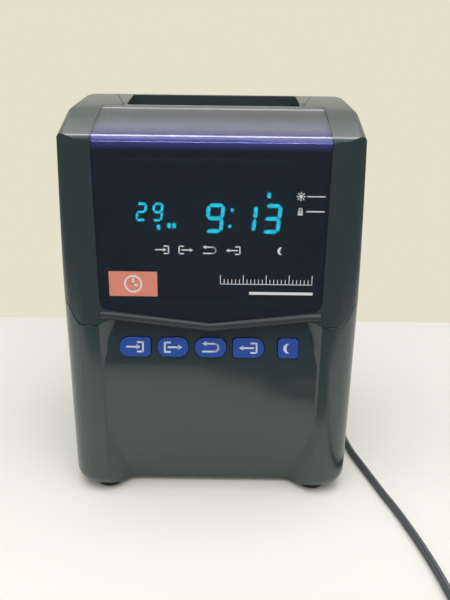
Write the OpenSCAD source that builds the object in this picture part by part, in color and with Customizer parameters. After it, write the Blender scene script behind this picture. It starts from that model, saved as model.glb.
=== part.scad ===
// Desk time recorder: a base with five punch buttons, a hinged hood with a display window and a
// card slot, and the card feed, printer and power pieces inside. Millimetres, +Z up, front at -Y.

/* [Case] */
// Width of the case
body_w = 164; // [156:1:190]
// Depth of the case from the front face to the rear wall
body_d = 128; // [124:1:150]
// Height of the crest behind the card slot
body_h = 228; // [222:1:245]
// Wall thickness of the mouldings
wall = 2.5; // [2:0.1:3]
// Radius of the front upright corners
corner_r = 18; // [12:1:22]
// Radius of the rear upright corners
rear_r = 9; // [9:1:14]
// Radius of the lower edges all round
keel_r = 8; // [5:0.5:8.5]
// Radius of the top side edges
shoulder_r = 8; // [6:1:12]
// Radius of the side edges of the sloping top
eave_r = 5; // [3:0.5:8]
// Radius of the rear top edge
tail_r = 12; // [6:1:16]
// How far the edge where the front turns into the sloping top lies below the crest
brow_drop = 23; // [18:1:28]
// Radius of the edge where the front turns into the sloping top
brow_r = 4; // [2:0.5:6]
// How far the bend of the sloping top lies behind the front face
knee_in = 30; // [26:1:34]
// How far the bend of the sloping top lies below the crest
knee_drop = 7.9; // [6.5:0.1:9]
// Radius of the bend of the sloping top
knee_r = 120; // [60:5:130]
// How far each side leans in from the seam to the top
hood_lean = 6.1; // [4:0.1:8]
// How far the top falls from the crest to the rear
crest_fall = 3; // [1:0.5:6]
// Height of the seam between base and hood at the front
seam_front_z = 107.5; // [104:0.5:112]
// Depth of the level part of the seam behind the front face
seam_flat = 1.4; // [1:0.1:2]
// Depth of the steep part of the seam at the front corners
seam_step_d = 3.6; // [3:0.1:4]
// Height of the steep part of the seam at the front corners
seam_step_h = 8; // [5:0.5:9]
// How far the hinge axis on the rear wall lies below the crest
hinge_drop = 24; // [20:1:32]
// Radius of the hinge knuckles
hinge_r = 4; // [3.5:0.1:5]
// Radius of the hinge pins
hinge_pin_r = 1.5; // [1:0.1:2]
// Distance of each hinge from the side of the case
hinge_side = 32; // [28:1:42]
// Gap left along the seam and between knuckles
seam_gap = 0.4; // [0.3:0.1:0.6]
// Height of the rubber feet
foot_h = 4; // [3:0.5:6]
// Radius of the rubber feet
foot_r = 8; // [6:0.5:9]
// Thickness of the bottom plate
plate_t = 2; // [1.5:0.1:3]

/* [Front] */
// How far the front panel lies behind the pillars
panel_in = 1.2; // [0.6:0.1:2]
// Width of each pillar beside the front panel
pillar_w = 23; // [20:0.5:25]
// Height of the crease above the toe undercut
crease_z = 43; // [36:1:50]
// Depth of the toe undercut at the bottom
undercut = 14; // [8:1:16]
// Height of the lower edge of the button recess
recess_z = 84; // [80:0.5:86]
// Extra depth of the button recess behind the lip
recess_in = 7; // [5:0.5:8]
// Height of the lip's lowest point in the middle
lip_apex_z = 104.4; // [103:0.2:106]
// Height of the lip's ends
lip_end_z = 110.5; // [109:0.2:112]
// Height of the lip moulding below the window
lip_h = 5.4; // [4.5:0.1:7]
// Depth of the shelf under the lip
lip_shelf = 5.4; // [4:0.1:5.6]
// Radius of the half-round bead along the lip
bead_r = 2.2; // [1.6:0.1:2.4]
// How far the bead stands out from the front face
bead_out = 1.5; // [0.8:0.1:1.6]
// Distance of the display window from the side of the case
window_side = 23; // [21:0.5:26]
// Radius of the window's lower corners
window_r = 5; // [2:0.5:8]
// Gap round the window
window_gap = 0.25; // [0.2:0.05:0.5]

/* [Buttons] */
// Height of the button row
button_row_z = 94; // [92:0.5:95]
// Width of the four main buttons
button_w = 17.2; // [14:0.2:17.6]
// Width of the fifth button
small_w = 11.2; // [9:0.2:13]
// Height of the buttons along the panel
button_h = 10.8; // [9:0.2:11.6]
// Distance between the main buttons
button_pitch = 20.8; // [20.6:0.1:22]
// Distance from the fourth button to the fifth
small_pitch = 21.8; // [20:0.2:24]
// How far the buttons stand out of the panel
button_proud = 1.8; // [1.4:0.1:2.5]
// Travel of the buttons
button_travel = 1.2; // [0.8:0.1:1.2]
// Gap round each button
button_gap = 0.35; // [0.3:0.05:0.5]

/* [Card path] */
// Width of the time card
card_w = 86; // [80:1:88]
// Distance of the slot's front edge behind the front face
slot_in = 36; // [34:0.5:38]
// Length of the slot's mouth from front to back
slot_d = 32; // [30:0.5:34]
// Distance of the card from the slot's rear edge
card_in = 10; // [8:0.5:12]
// Room beside the card at the slot's front edge
slot_side = 5.5; // [4:0.5:8]
// Clear gap between the card guides
path_gap = 2; // [1.6:0.1:2.6]
// Thickness of the sheet metal frames and guides
sheet_t = 1.2; // [1:0.1:1.5]
// Room from each frame plate to the outside of the case
frame_side = 23.5; // [22:0.5:24]
// How far the feed rollers' axis lies below the front edge of the top
feed_drop = 43; // [41:0.5:45]
// Radius of the feed rollers
feed_r = 7; // [6:0.2:8]
// Radius of the feed shaft
feed_shaft_r = 2.5; // [2:0.1:3]
// Radius of the pinch rollers
pinch_r = 5; // [4:0.2:6]
// Gear module of the feed drive
gear_module = 0.8; // [0.7:0.05:0.85]
// Teeth of the feed gear
gear_teeth = 48; // [44:1:50]
// Teeth of the motor pinion
pinion_teeth = 12; // [12:1:14]

/* [Printer] */
// Height of the print line
print_z = 120; // [119:0.5:122]
// Travel of the carriage to either side
carriage_travel = 32; // [24:1:32]
// Width of the carriage
carriage_w = 22; // [18:1:22]
// Radius of the carriage's guide shaft
shaft_r = 3; // [2.5:0.1:3.5]
// Radius of the carriage's second rail
rail_r = 2; // [1.5:0.1:2.5]
// Radius of the belt pulleys
pulley_r = 6; // [5:0.2:6.4]
// Width of the drive belt
belt_w = 5; // [4:0.2:6]
// Thickness of the drive belt
belt_t = 1.2; // [1:0.1:1.4]

/* [Display] */
// How far the middle of the large digits lies below the front edge of the top
digit_drop = 40.6; // [37:0.2:45]
// Height of the large digits
digit_h = 15.6; // [12:0.2:18]
// Height of the small digits
small_digit_h = 9.8; // [8:0.2:11]
// Width of the strokes of the large digits
stroke = 2; // [1.4:0.1:2.4]

/* [Cord] */
// Width of the flat cord
cord_w = 5.5; // [4:0.1:6]
// Thickness of the flat cord
cord_t = 2.8; // [2:0.1:3]
// Turns of the coiled length
coil_turns = 7.25; // [3.25:1:9.25]
// Radius of the coil's outer turn
coil_r = 37; // [34:1:44]
// Distance between the coil's turns
coil_pitch = 3.45; // [3.4:0.05:3.6]
// Distance between the coil's layers
coil_layer = 6.1; // [6:0.1:7]

/* [Clearances] */
// Running clearance of shafts and pins in their bores
run_gap = 0.06; // [0.02:0.01:0.1]
// Clearance of fixed pieces beside each other
fit_gap = 0.3; // [0.2:0.05:0.4]

/* [Hidden] */
$fn = 48;

// Main planes of the case; the knuckles behind the rear wall count in the depth
front = -(body_d + hinge_r) / 2;
back = front + body_d;
half_w = body_w / 2;
brow_z = body_h - brow_drop;
hinge_z = body_h - hinge_drop;
hinge_x = half_w - hinge_side;
panel_half = half_w - pillar_w;
window_half = half_w - window_side;
seam_turn_y = front + seam_flat + seam_step_d;
seam_turn_z = seam_front_z + seam_step_h;
seam_slope = (hinge_z - seam_turn_z) / (back - seam_turn_y);
knee_z = body_h - knee_drop;
slope_angle = atan2(knee_z - brow_z, knee_in);
crest_angle = atan2(knee_drop, slot_in + slot_d - knee_in);
arc_step = 9;

// The lip and the window share the same shallow V
lip_end_x = window_half - 5;
lip_turn_x = panel_half + 2;
bead_end_x = lip_turn_x - bead_r;
window_apex_z = lip_apex_z + lip_h;
window_end_z = lip_end_z + lip_h + 1;
lip_floor_t = 2;
window_flange = 2.4;
window_flange_t = 1.2;

// The button panel leans back from the lower edge of its recess
recess_top_z = seam_front_z + 4;
recess_tilt = atan2(recess_in, recess_top_z - recess_z);
button_y = front + panel_in + (button_row_z - recess_z) * tan(recess_tilt);
button_x = [for (i = [0:4]) i < 4 ? (i - 2) * button_pitch : button_pitch + small_pitch];
button_flange = 1.2;
button_flange_t = 1.2;
switch_size = 7;
switch_h = 4.5;
stem_r = 1.5;
board_t = 1.6;
button_board_w = wall + 8.5;
button_board_half = 53;
button_board_low = -8;
button_board_high = 14;
button_boss_u = 40;
button_boss_v = 10.5;

// Card slot and card path
slot_front = front + slot_in;
slot_back = slot_front + slot_d;
card_y = slot_back - card_in;
slot_front_half = card_w / 2 + slot_side;
slot_rear_half = window_half - 1.5;
funnel_wall = 1.2;
funnel_exit_half = card_w / 2 + 2;
funnel_exit_d = path_gap + 2;
funnel_z = brow_z - 7;
guide_back = card_y + path_gap / 2;
guide_front = card_y - path_gap / 2;
frame_in = half_w - frame_side;
frame_t = 1.5;
floor_z = foot_h + plate_t;
frame_top = brow_z - 15;

// Feed drive
feed_z = brow_z - feed_drop;
feed_y = card_y + 0.2 + feed_r;
pinch_y = card_y - 0.2 - pinch_r;
gear_distance = gear_module * (gear_teeth + pinion_teeth) / 2;
motor_angle = 35;
feed_motor_y = feed_y + gear_distance * cos(motor_angle);
feed_motor_z = feed_z - gear_distance * sin(motor_angle);
gear_w = 4;
gear_x = frame_in + frame_t + 1;
roller_x = 25;
roller_w = 12;
feed_motor_r = 17;
feed_motor_l = 22;
pinch_axle_r = 1.5;
motor_shaft_r = 1.5;

// Printer: ribbon, head and carriage stand in front of the card path
ribbon_t = 0.2;
ribbon_y = guide_front - sheet_t - 0.6;
ribbon_h = 12;
head_y = ribbon_y - 0.6;
head_d = 12.6;
head_w = 18;
case_back = head_y - head_d - 2;
case_d = 22;
case_h = 16;
case_half = frame_in - 8.5;
horn_w = 6;
carriage_top = print_z - ribbon_h / 2 - 8;
carriage_h = 12;
rail_z = carriage_top - carriage_h / 2;
shaft_y = head_y - 8.5;
rail_y = shaft_y - 15;
belt_y = rail_y - 5 + pulley_r;
belt_z = carriage_top - carriage_h - 8;
pulley_y = belt_y - pulley_r;
pulley_x = case_half - 4;
flange_r = pulley_r + 2;
shelf_z = belt_z - 5;
carriage_motor_r = 10.4;
carriage_motor_l = 22;
knob_x = -34;
knob_r = 7;

// Display module behind the window
digit_z = brow_z - digit_drop;
date_x = -40;
tube_half = -date_x + 8;
tube_low = digit_z - 20;
tube_h = 42;
tube_in = 6.5;
board_in = 15;
digit_in = 11.6;
digit_t = 0.4;
display_board_half = tube_half + 8;
display_low = digit_z - 32;
display_high = digit_z + 28;
display_boss_x = window_half + 7;
display_boss_z = [display_low + 8, display_high - 6];
slant = 0.1;

// Boards and power pieces
main_board_y = back - wall - 14;
main_board_half = 50;
main_board_low = 16;
main_board_high = 116;
main_boss_x = 44;
main_boss_z = [24, 108];
power_board_z = floor_z + 6;
power_board_front = front + undercut + 6;
power_board_d = 30;
power_board_half = 48;
trafo_x = frame_in - 29.5;
trafo_w = 50;
trafo_h = 40;
trafo_d = 18;
trafo_y = (guide_back + sheet_t + main_board_y) / 2;
battery_low = -frame_in + 8.5;
battery_high = trafo_x - trafo_w / 2 - 14;
cell_r = 7;
battery_y = card_y + 16;

// Screws and bosses of the bottom plate
boss_x = half_w - 16;
boss_y = [front + 26, back - 30];
boss_r = 4;
screw_r = 1.5;
head_r = 2.8;
foot_x = half_w - 20;
foot_y = [front + 15, back - 14];

// Hood lock on the right side
lock_y = front + 28;
lock_z = seam_front_z + 35;
lock_r = 6;
lock_flange_r = 9;
lock_flange_t = 2.2;
lock_plug_r = 3.5;
cam_l = 30;
cam_w = 8;
cam_t = 2;
lock_face = half_w - hood_lean * (lock_z - seam_front_z) / (body_h - seam_front_z) - 0.6;
lock_seat = half_w - hood_lean * (lock_z + lock_flange_r - seam_front_z) / (body_h - seam_front_z)
    - wall - fit_gap;
barrel_l = 8;
cam_x = lock_face - barrel_l - fit_gap - cam_t;

// Keyholes for a wall, in line on the rear wall
keyhole_x = 42;
keyhole_z = hinge_z - 54;
keyhole_r = 4.5;
keyhole_slot_r = 2.2;

// Cord: strain relief on the rear wall, a free stretch on the table, then the coil and the plug
gland_x = 52;
gland_z = 18;
gland_l = 26;
gland_r = 6.5;
gland_tip_r = 4;
tie_t = 0.8;
tie_w = 6;
cord_z = cord_w / 2 + 0.05;
coil_z = tie_t + fit_gap + cord_w / 2;
coil_x = 78;
coil_y = -197;
coil_lead = 12.5;
plug_w = 26;
plug_l = 30;
plug_boot_l = 26;
blade_pitch = 12.7;
blade_t = 1.5;
blade_w = 6.3;
blade_l = 17;

cord_start_y = back + gland_l;
cord_end_x = coil_x + coil_r;
cord_end_y = coil_y + cord_w;
cord_route = [
    [gland_x, cord_start_y, gland_z], [gland_x, cord_start_y + 6, gland_z], [54, 103, 16.5],
    [59, 111, 13], [67, 116, 9], [77, 117, 5.5], [86, 113, 3.5], [93, 105, cord_z],
    [96, 94, cord_z], [97, 80, cord_z], [97, 64, cord_z], [96, 46, cord_z], [94, 26, cord_z],
    [92.5, 6, cord_z], [92.5, -10, cord_z], [94, -24, cord_z], [97, -38, cord_z],
    [100, -52, cord_z], [103, -66, cord_z], [106.5, -80, cord_z], [109.5, -95, cord_z],
    [112, -110, cord_z], [114, -126, cord_z], [115, -142, cord_z], [115.3, -158, cord_z],
    [cord_end_x, -176, coil_z - 0.4], [cord_end_x, cord_end_y + cord_w, coil_z],
    [cord_end_x, cord_end_y, coil_z]
];

// Helpers for outlines: points run counter-clockwise

function unit(v) = v / norm(v);

function edge_normal(p, q) = let (d = unit(q - p)) [-d[1], d[0]];

// Moves every edge of an outline inwards by t
function inset(pts, t) =
    let (n = len(pts))
    [for (i = [0:n - 1])
        let (a = edge_normal(pts[(i + n - 1) % n], pts[i]))
        let (b = edge_normal(pts[i], pts[(i + 1) % n]))
        pts[i] + t * (a + b) / (1 + a * b)];

// One corner p between a and b, rounded with radius r
function corner(a, p, b, r) =
    r <= 0 ? [p] :
    let (u = unit(a - p), v = unit(b - p), h = acos(u * v) / 2)
    let (c = p + unit(u + v) * r / sin(h), s = p + u * r / tan(h) - c)
    let (side = cross(p - a, b - p) > 0 ? 1 : -1, turn = side * (180 - 2 * h))
    let (from = atan2(s[1], s[0]), n = max(1, ceil(abs(turn) / arc_step)))
    [for (i = [0:n]) c + r * [cos(from + turn * i / n), sin(from + turn * i / n)]];

// An outline from corners [x, y, radius]
function rounded(c) =
    let (n = len(c), p = [for (q = c) [q[0], q[1]]])
    [for (i = [0:n - 1]) each corner(p[(i + n - 1) % n], p[i], p[(i + 1) % n], c[i][2])];

// The same outline drawn t inside, its corners kept concentric
function rounded_inside(c, t) =
    let (p = inset([for (q = c) [q[0], q[1]]], t))
    rounded([for (i = [0:len(c) - 1]) [p[i][0], p[i][1], max(0, c[i][2] - t)]]);

function box_outline(x0, y0, x1, y1, r = 0) =
    rounded([[x0, y0, r], [x1, y0, r], [x1, y1, r], [x0, y1, r]]);

// Extrudes an outline of (Y, Z), of (X, Z) or of (X, Y) points
module along_x(x0, x1) {
    translate([x0, 0, 0]) rotate([90, 0, 90]) linear_extrude(x1 - x0) children();
}

module along_y(y0, y1) {
    translate([0, y1, 0]) rotate([90, 0, 0]) linear_extrude(y1 - y0) children();
}

module along_z(z0, z1) {
    translate([0, 0, z0]) linear_extrude(z1 - z0) children();
}

module box(low, high) {
    translate(low) cube(high - low);
}

// A round bar along X, along Y or along Z, by its two ends
module rod_x(r, x0, x1, y, z) {
    translate([x0, y, z]) rotate([0, 90, 0]) cylinder(r = r, h = x1 - x0);
}

module rod_y(r, y0, y1, x, z) {
    translate([x, y1, z]) rotate([90, 0, 0]) cylinder(r = r, h = y1 - y0);
}

module rod_z(r, z0, z1, x, y) {
    translate([x, y, z0]) cylinder(r = r, h = z1 - z0);
}

module both_sides() {
    children();
    mirror([1, 0, 0]) children();
}

// Outer form of the case

module side_prism(t) {
    along_x(-body_w, body_w)
        polygon(rounded_inside([
            [front, -20, 0], [back, -20, 0], [back, body_h - crest_fall, tail_r],
            [slot_back, body_h, 40], [front + knee_in, knee_z, knee_r], [front, brow_z, brow_r]
        ], t));
}

module front_prism(t) {
    along_y(-body_d, body_d)
        polygon(rounded_inside([
            [-half_w, -20, 0], [half_w, -20, 0], [half_w, seam_front_z, 900],
            [half_w - hood_lean, body_h, shoulder_r], [-half_w + hood_lean, body_h, shoulder_r],
            [-half_w, seam_front_z, 900]
        ], t));
}

// The side edges of the sloping top are rounded along each slope, which starts at y, z
module slope_prism(y, z, angle, t) {
    drop = 100;
    top_half = half_w - hood_lean * (z - seam_front_z) / (body_h - seam_front_z);
    low_half = top_half + hood_lean * drop / (body_h - seam_front_z);
    translate([0, y, z]) rotate([angle, 0, 0])
        along_y(-3 * drop, 3 * drop)
            polygon(rounded_inside([
                [-low_half, -drop, 0], [-low_half - 20, -4 * drop, 0], [low_half + 20, -4 * drop, 0],
                [low_half, -drop, 0], [top_half, 0.1, eave_r], [-top_half, 0.1, eave_r]
            ], t));
}

// Upright walls with a round lower edge: corner posts and the spans between them
module corner_post(x, y, r, t) {
    translate([x, y, 0]) rotate_extrude()
        polygon(rounded([
            [0, foot_h + t, 0], [r - t, foot_h + t, keel_r - t],
            [r - t, body_h + 20, 0], [0, body_h + 20, 0]
        ]));
}

module keel_form(t) {
    low = foot_h + t;
    top = body_h + 20;
    r = keel_r - t;
    along_x(-half_w + corner_r, half_w - corner_r)
        polygon(rounded([[front + t, low, r], [front + 40, low, 0],
            [front + 40, top, 0], [front + t, top, 0]]));
    along_x(-half_w + rear_r, half_w - rear_r)
        polygon(rounded([[back - 40, low, 0], [back - t, low, r],
            [back - t, top, 0], [back - 40, top, 0]]));
    along_y(front + corner_r, back - rear_r)
        polygon(rounded([[-half_w + t, low, r], [half_w - t, low, r],
            [half_w - t, top, 0], [-half_w + t, top, 0]]));
    both_sides() {
        corner_post(half_w - corner_r, front + corner_r, corner_r, t);
        corner_post(half_w - rear_r, back - rear_r, rear_r, t);
    }
}

// The case drawn t inside its outer form
module body_form(t) {
    intersection() {
        keel_form(t);
        side_prism(t);
        front_prism(t);
        slope_prism(front, brow_z, slope_angle, t);
        slope_prism(front + knee_in, knee_z, crest_angle, t);
    }
}

// The opening in the floor that the bottom plate fills
module floor_opening(t) {
    edge = keel_r + 1 + t;
    difference() {
        along_z(-10, foot_h + wall + 1)
            polygon(box_outline(-half_w + edge, front + edge, half_w - edge, back - edge, 6));
        channel(wall + t);
    }
}

// The channel between the pillars: toe undercut, front panel and leaning button panel
channel_floor = [
    [front - 10, -10], [front + undercut + 10 * (undercut - panel_in) / crease_z, -10],
    [front + panel_in, crease_z], [front + panel_in, recess_z],
    [front + panel_in + recess_in, recess_top_z],
    [front + panel_in + recess_in, recess_top_z + 12], [front - 10, recess_top_z + 12]
];

function channel_half(y) = panel_half - (y - front - panel_in);

channel_plan = [
    [-channel_half(front - 5), front - 5], [channel_half(front - 5), front - 5],
    [channel_half(front + 25), front + 25], [-channel_half(front + 25), front + 25]
];

module channel(t) {
    intersection() {
        along_x(-body_w, body_w) polygon(inset(channel_floor, -t));
        along_z(-10, recess_top_z + 10) polygon(inset(channel_plan, -t));
    }
}

// Seam between base and hood: a plane through the hinge axis, a steep step at the front corners
// and the V of the lip at the front

function seam_z(y) = seam_turn_z + seam_slope * (y - seam_turn_y);

module above_seam(shift) {
    along_x(-body_w, body_w)
        polygon(inset([
            [front - 10, seam_front_z], [front + seam_flat, seam_front_z], [seam_turn_y, seam_turn_z],
            [back + 20, seam_z(back + 20)], [back + 20, body_h + 20], [front - 10, body_h + 20]
        ], shift));
}

lip_line = [
    [-lip_turn_x, seam_front_z], [-lip_end_x, lip_end_z], [0, lip_apex_z],
    [lip_end_x, lip_end_z], [lip_turn_x, seam_front_z]
];

module above_lip(shift, depth) {
    along_y(front - 10, front + depth)
        polygon(concat(
            [for (p = lip_line) p + [0, shift]],
            [[lip_turn_x, lip_wing_z], [lip_turn_x + 0.1, lip_wing_z], [lip_turn_x + 0.1, body_h + 10]],
            [[-lip_turn_x - 0.1, body_h + 10], [-lip_turn_x - 0.1, lip_wing_z], [-lip_turn_x, lip_wing_z]]
        ));
}

lip_zone = lip_shelf + 0.6;
lip_wing_z = seam_z(front + lip_zone) + 2 * seam_gap;

module hood_zone(shift) {
    difference() {
        above_seam(shift);
        box([-lip_turn_x, front - 10, 0], [lip_turn_x, front + lip_zone, body_h + 10]);
    }
    above_lip(shift, lip_zone);
}

// A frame on the button panel: X along the row, Y up the panel, Z out of it
module on_panel() {
    translate([0, button_y, button_row_z]) rotate([90 - recess_tilt, 0, 0]) children();
}

module button_outline(i, grow) {
    w = (i < 4 ? button_w : small_w) / 2 + grow;
    h = button_h / 2 + grow;
    left_r = i == 4 || i == 3 ? 2 : h - 0.2;
    right_r = i == 4 || i == 0 ? 2 : h - 0.2;
    polygon(rounded([[-w, -h, left_r], [w, -h, right_r], [w, h, right_r], [-w, h, left_r]]));
}

// Knuckle spans along X on the right half: base, hood, base
knuckle_w = 12;
hood_knuckle = [hinge_x - 8, hinge_x + 8];
base_knuckles = [
    [hood_knuckle[0] - seam_gap - knuckle_w, hood_knuckle[0] - seam_gap],
    [hood_knuckle[1] + seam_gap, hood_knuckle[1] + seam_gap + knuckle_w]
];

module knuckle(span, r) {
    rod_x(r, span[0], span[1], back, hinge_z);
}

// Base

module plate_boss(x, y) {
    rod_z(boss_r, floor_z, floor_z + 20, x, y);
    side = x > 0 ? 1 : -1;
    translate([x + side * (half_w - wall / 2 - abs(x)) / 2, y, floor_z + 10])
        cube([half_w - wall / 2 - abs(x), boss_r, 20], center = true);
}

module main_board_boss(x, z) {
    rod_y(3, main_board_y + board_t, back - wall / 2, x, z);
}

module lock_strike() {
    strike_y = lock_y - cam_w / 2 - 1;
    box([cam_x - 3, strike_y - 3, lock_z - cam_l - 6],
        [half_w - wall / 2, strike_y, seam_z(strike_y - 3) - seam_gap - 1]);
}

module keyhole(x) {
    rod_y(keyhole_r, back - wall - 1, back + 1, x, keyhole_z);
    rod_y(keyhole_slot_r, back - wall - 1, back + 1, x, keyhole_z + keyhole_r + 3);
    box([x - keyhole_slot_r, back - wall - 1, keyhole_z],
        [x + keyhole_slot_r, back + 1, keyhole_z + keyhole_r + 3]);
}

module vent_slots() {
    for (i = [-4:4])
        box([i * 9 - 2, back - wall - 1, 60], [i * 9 + 2, back + 1, 96]);
}

module base_shell() {
    color("#3f4645")
    difference() {
        union() {
            difference() {
                body_form(0);
                channel(0);
                difference() {
                    body_form(wall);
                    channel(wall);
                }
                hood_zone(-seam_gap / 2);
                floor_opening(0);
            }
            for (x = [-boss_x, boss_x], y = boss_y) plate_boss(x, y);
            for (x = [-main_boss_x, main_boss_x], z = main_boss_z) main_board_boss(x, z);
            for (u = [-button_boss_u, button_boss_u])
                on_panel() translate([u, button_boss_v, -button_board_w])
                    cylinder(r = 3, h = button_board_w - wall / 2);
            lock_strike();
            both_sides() for (s = base_knuckles) knuckle(s, hinge_r);
        }
        for (x = [-boss_x, boss_x], y = boss_y) rod_z(screw_r, 0, floor_z + 16, x, y);
        for (x = [-main_boss_x, main_boss_x], z = main_boss_z)
            rod_y(screw_r, main_board_y, back - wall - 2, x, z);
        for (i = [0:4])
            on_panel() translate([button_x[i], 0, -wall - 2])
                linear_extrude(wall + 4) button_outline(i, button_gap);
        for (u = [-button_boss_u, button_boss_u])
            on_panel() translate([u, button_boss_v, -button_board_w - 1])
                cylinder(r = screw_r, h = 7);
        both_sides() {
            knuckle(hood_knuckle + [-seam_gap, seam_gap], hinge_r + seam_gap);
            rod_x(hinge_pin_r + run_gap, hinge_x - 30, hinge_x + 30, back, hinge_z);
        }
        for (x = [-keyhole_x, keyhole_x]) keyhole(x);
        rod_y(gland_r - 1.2, back - wall - 1, back + 1, gland_x, gland_z);
        vent_slots();
    }
}

module bottom_plate() {
    color("#2d3231")
    difference() {
        union() {
            intersection() {
                floor_opening(fit_gap);
                box([-body_w, -body_d, foot_h], [body_w, body_d, floor_z]);
            }
            for (x = [-1, 1] * (power_board_half - 5), y = [5, power_board_d - 5])
                rod_z(3, floor_z - 0.5, power_board_z, x, power_board_front + y);
        }
        for (x = [-boss_x, boss_x], y = boss_y) rod_z(screw_r + 0.3, 0, floor_z + 1, x, y);
        for (x = [-foot_x, foot_x], y = foot_y) rod_z(2.1, 0, floor_z + 1, x, y);
        for (x = [-20:8:20]) box([x - 2, back - 30, 0], [x + 2, back - 16, floor_z + 1]);
    }
}

module rubber_feet() {
    color("#151616")
    for (x = [-foot_x, foot_x], y = foot_y) {
        rod_z(foot_r, 0, foot_h, x, y);
        rod_z(2, foot_h - 0.5, floor_z, x, y);
    }
}

module base_screws() {
    color("#a8a8a4")
    for (x = [-boss_x, boss_x], y = boss_y)
        difference() {
            union() {
                rod_z(head_r, foot_h - 1.6, foot_h, x, y);
                rod_z(screw_r - run_gap, foot_h - 1, floor_z + 12, x, y);
            }
            translate([x, y, foot_h - 2]) cube([3.6, 0.7, 1.6], center = true);
            translate([x, y, foot_h - 2]) cube([0.7, 3.6, 1.6], center = true);
        }
}

// Frames, guides and card feed

frame_outline = [
    [card_y - 38, floor_z], [card_y + 46, floor_z], [card_y + 46, frame_top - 20],
    [card_y + 16, frame_top], [card_y - 16, frame_top], [card_y - 18, print_z + 24],
    [card_y - 38, print_z + 12]
];

module frame_plate() {
    difference() {
        union() {
            along_x(frame_in, frame_in + frame_t) polygon(frame_outline);
            box([frame_in - 10, card_y - 34, floor_z], [frame_in + 0.5, card_y - 8, floor_z + frame_t]);
        }
        rod_x(feed_shaft_r + run_gap, frame_in - 1, frame_in + 3, feed_y, feed_z);
        rod_x(pinch_axle_r + run_gap, frame_in - 1, frame_in + 3, pinch_y, feed_z);
        rod_x(shaft_r + run_gap / 2, frame_in - 1, frame_in + 3, shaft_y, rail_z);
        rod_x(rail_r + run_gap / 2, frame_in - 1, frame_in + 3, rail_y, rail_z);
        rod_x(motor_shaft_r + 2, frame_in - 1, frame_in + 3, feed_motor_y, feed_motor_z);
        along_x(frame_in - 1, frame_in + 3)
            polygon(box_outline(card_y + 10, 24, card_y + 36, 100, 6));
        along_x(frame_in - 1, frame_in + 3)
            polygon(box_outline(card_y - 30, 24, card_y - 8, 70, 6));
    }
}

module left_frame() {
    color("#b4b6b2") mirror([1, 0, 0]) frame_plate();
}

module right_frame() {
    color("#b4b6b2") frame_plate();
}

frame_screw_places = [
    [shaft_y + 6, shelf_z - 3], [rail_y + 4, shelf_z - 3], [guide_back + 5, print_z], [guide_back + 5, 44]
];

module frame_screws() {
    color("#c9c9c2")
    both_sides() for (p = frame_screw_places)
        difference() {
            rod_x(head_r, frame_in + frame_t, frame_in + frame_t + 1.6, p[0], p[1]);
            translate([frame_in + frame_t + 1.6, p[0], p[1]]) cube([1.6, 0.7, 3.6], center = true);
        }
}

module printer_shelf() {
    color("#b4b6b2")
    difference() {
        union() {
            box([-frame_in, pulley_y - 8, shelf_z - frame_t], [frame_in, shaft_y + 8, shelf_z]);
            both_sides() box([frame_in - frame_t, pulley_y - 6, shelf_z - 8],
                [frame_in, shaft_y + 8, shelf_z - 0.5]);
            rod_z(motor_shaft_r, shelf_z - 0.5, belt_z + belt_w + 4, -pulley_x, pulley_y);
        }
        rod_z(motor_shaft_r + 2, shelf_z - 5, shelf_z + 1, pulley_x, pulley_y);
    }
}

module roller_windows(y0, y1) {
    for (x = [-roller_x, roller_x])
        box([x - roller_w / 2 - 1.5, y0, feed_z - 8], [x + roller_w / 2 + 1.5, y1, feed_z + 8]);
}

print_half = carriage_travel + head_w / 2 + 1;

module print_window(y0, y1, margin) {
    box([-print_half - margin, y0, print_z - 9], [print_half + margin, y1, print_z + 9]);
}

module front_card_guide() {
    color("#9a9c98")
    difference() {
        union() {
            box([-frame_in, guide_front - sheet_t, 40], [frame_in, guide_front, frame_top - 2]);
            both_sides() box([frame_in - sheet_t, guide_front - 6, 42],
                [frame_in, guide_front - sheet_t + 0.3, shelf_z - 10]);
        }
        roller_windows(guide_front - 8, guide_front + 1);
        print_window(guide_front - 8, guide_front + 1, 2);
    }
}

module rear_card_guide() {
    color("#9a9c98")
    difference() {
        union() {
            box([-frame_in, guide_back, 22], [frame_in, guide_back + sheet_t, frame_top + 2]);
            box([-card_w / 2, guide_front - sheet_t, 22], [card_w / 2, guide_back + 0.5, 22 + frame_t]);
            both_sides() box([frame_in - sheet_t, guide_back + sheet_t - 0.3, 30],
                [frame_in, guide_back + 10, 104]);
        }
        roller_windows(guide_back - 1, guide_back + 3);
        print_window(guide_back - 1, guide_back + 3, 3);
    }
}

module platen() {
    color("#262827") {
        box([-print_half - 2, guide_back + 0.2, print_z - 8],
            [print_half + 2, guide_back + 3, print_z + 8]);
        box([-frame_in, guide_back + sheet_t + fit_gap, print_z - 7],
            [frame_in, guide_back + 8, print_z + 7]);
    }
}

module feed_shaft() {
    color("#d0d0cc") {
        rod_x(feed_shaft_r, -frame_in - frame_t - 2, gear_x + gear_w, feed_y, feed_z);
        rod_x(feed_shaft_r + 1.5, -frame_in + fit_gap, -frame_in + 3, feed_y, feed_z);
        rod_x(feed_shaft_r + 1.5, frame_in - 3, frame_in - fit_gap, feed_y, feed_z);
    }
}

module feed_rollers() {
    color("#1d1e1e")
    for (x = [-roller_x, roller_x])
        difference() {
            rod_x(feed_r, x - roller_w / 2, x + roller_w / 2, feed_y, feed_z);
            rod_x(feed_shaft_r, x - roller_w, x + roller_w, feed_y, feed_z);
        }
}

// Involute tooth flank: angle on the gear at radius r, for n teeth
pressure = 20;
backlash = 0.16;

function involute(a) = tan(a) * 180 / PI - a;

function flank(n, r) =
    let (pitch_r = gear_module * n / 2, base_r = pitch_r * cos(pressure))
    let (half = 90 / n - backlash / 2 / pitch_r * 180 / PI)
    half + involute(pressure) - involute(acos(min(1, base_r / r)));

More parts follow.
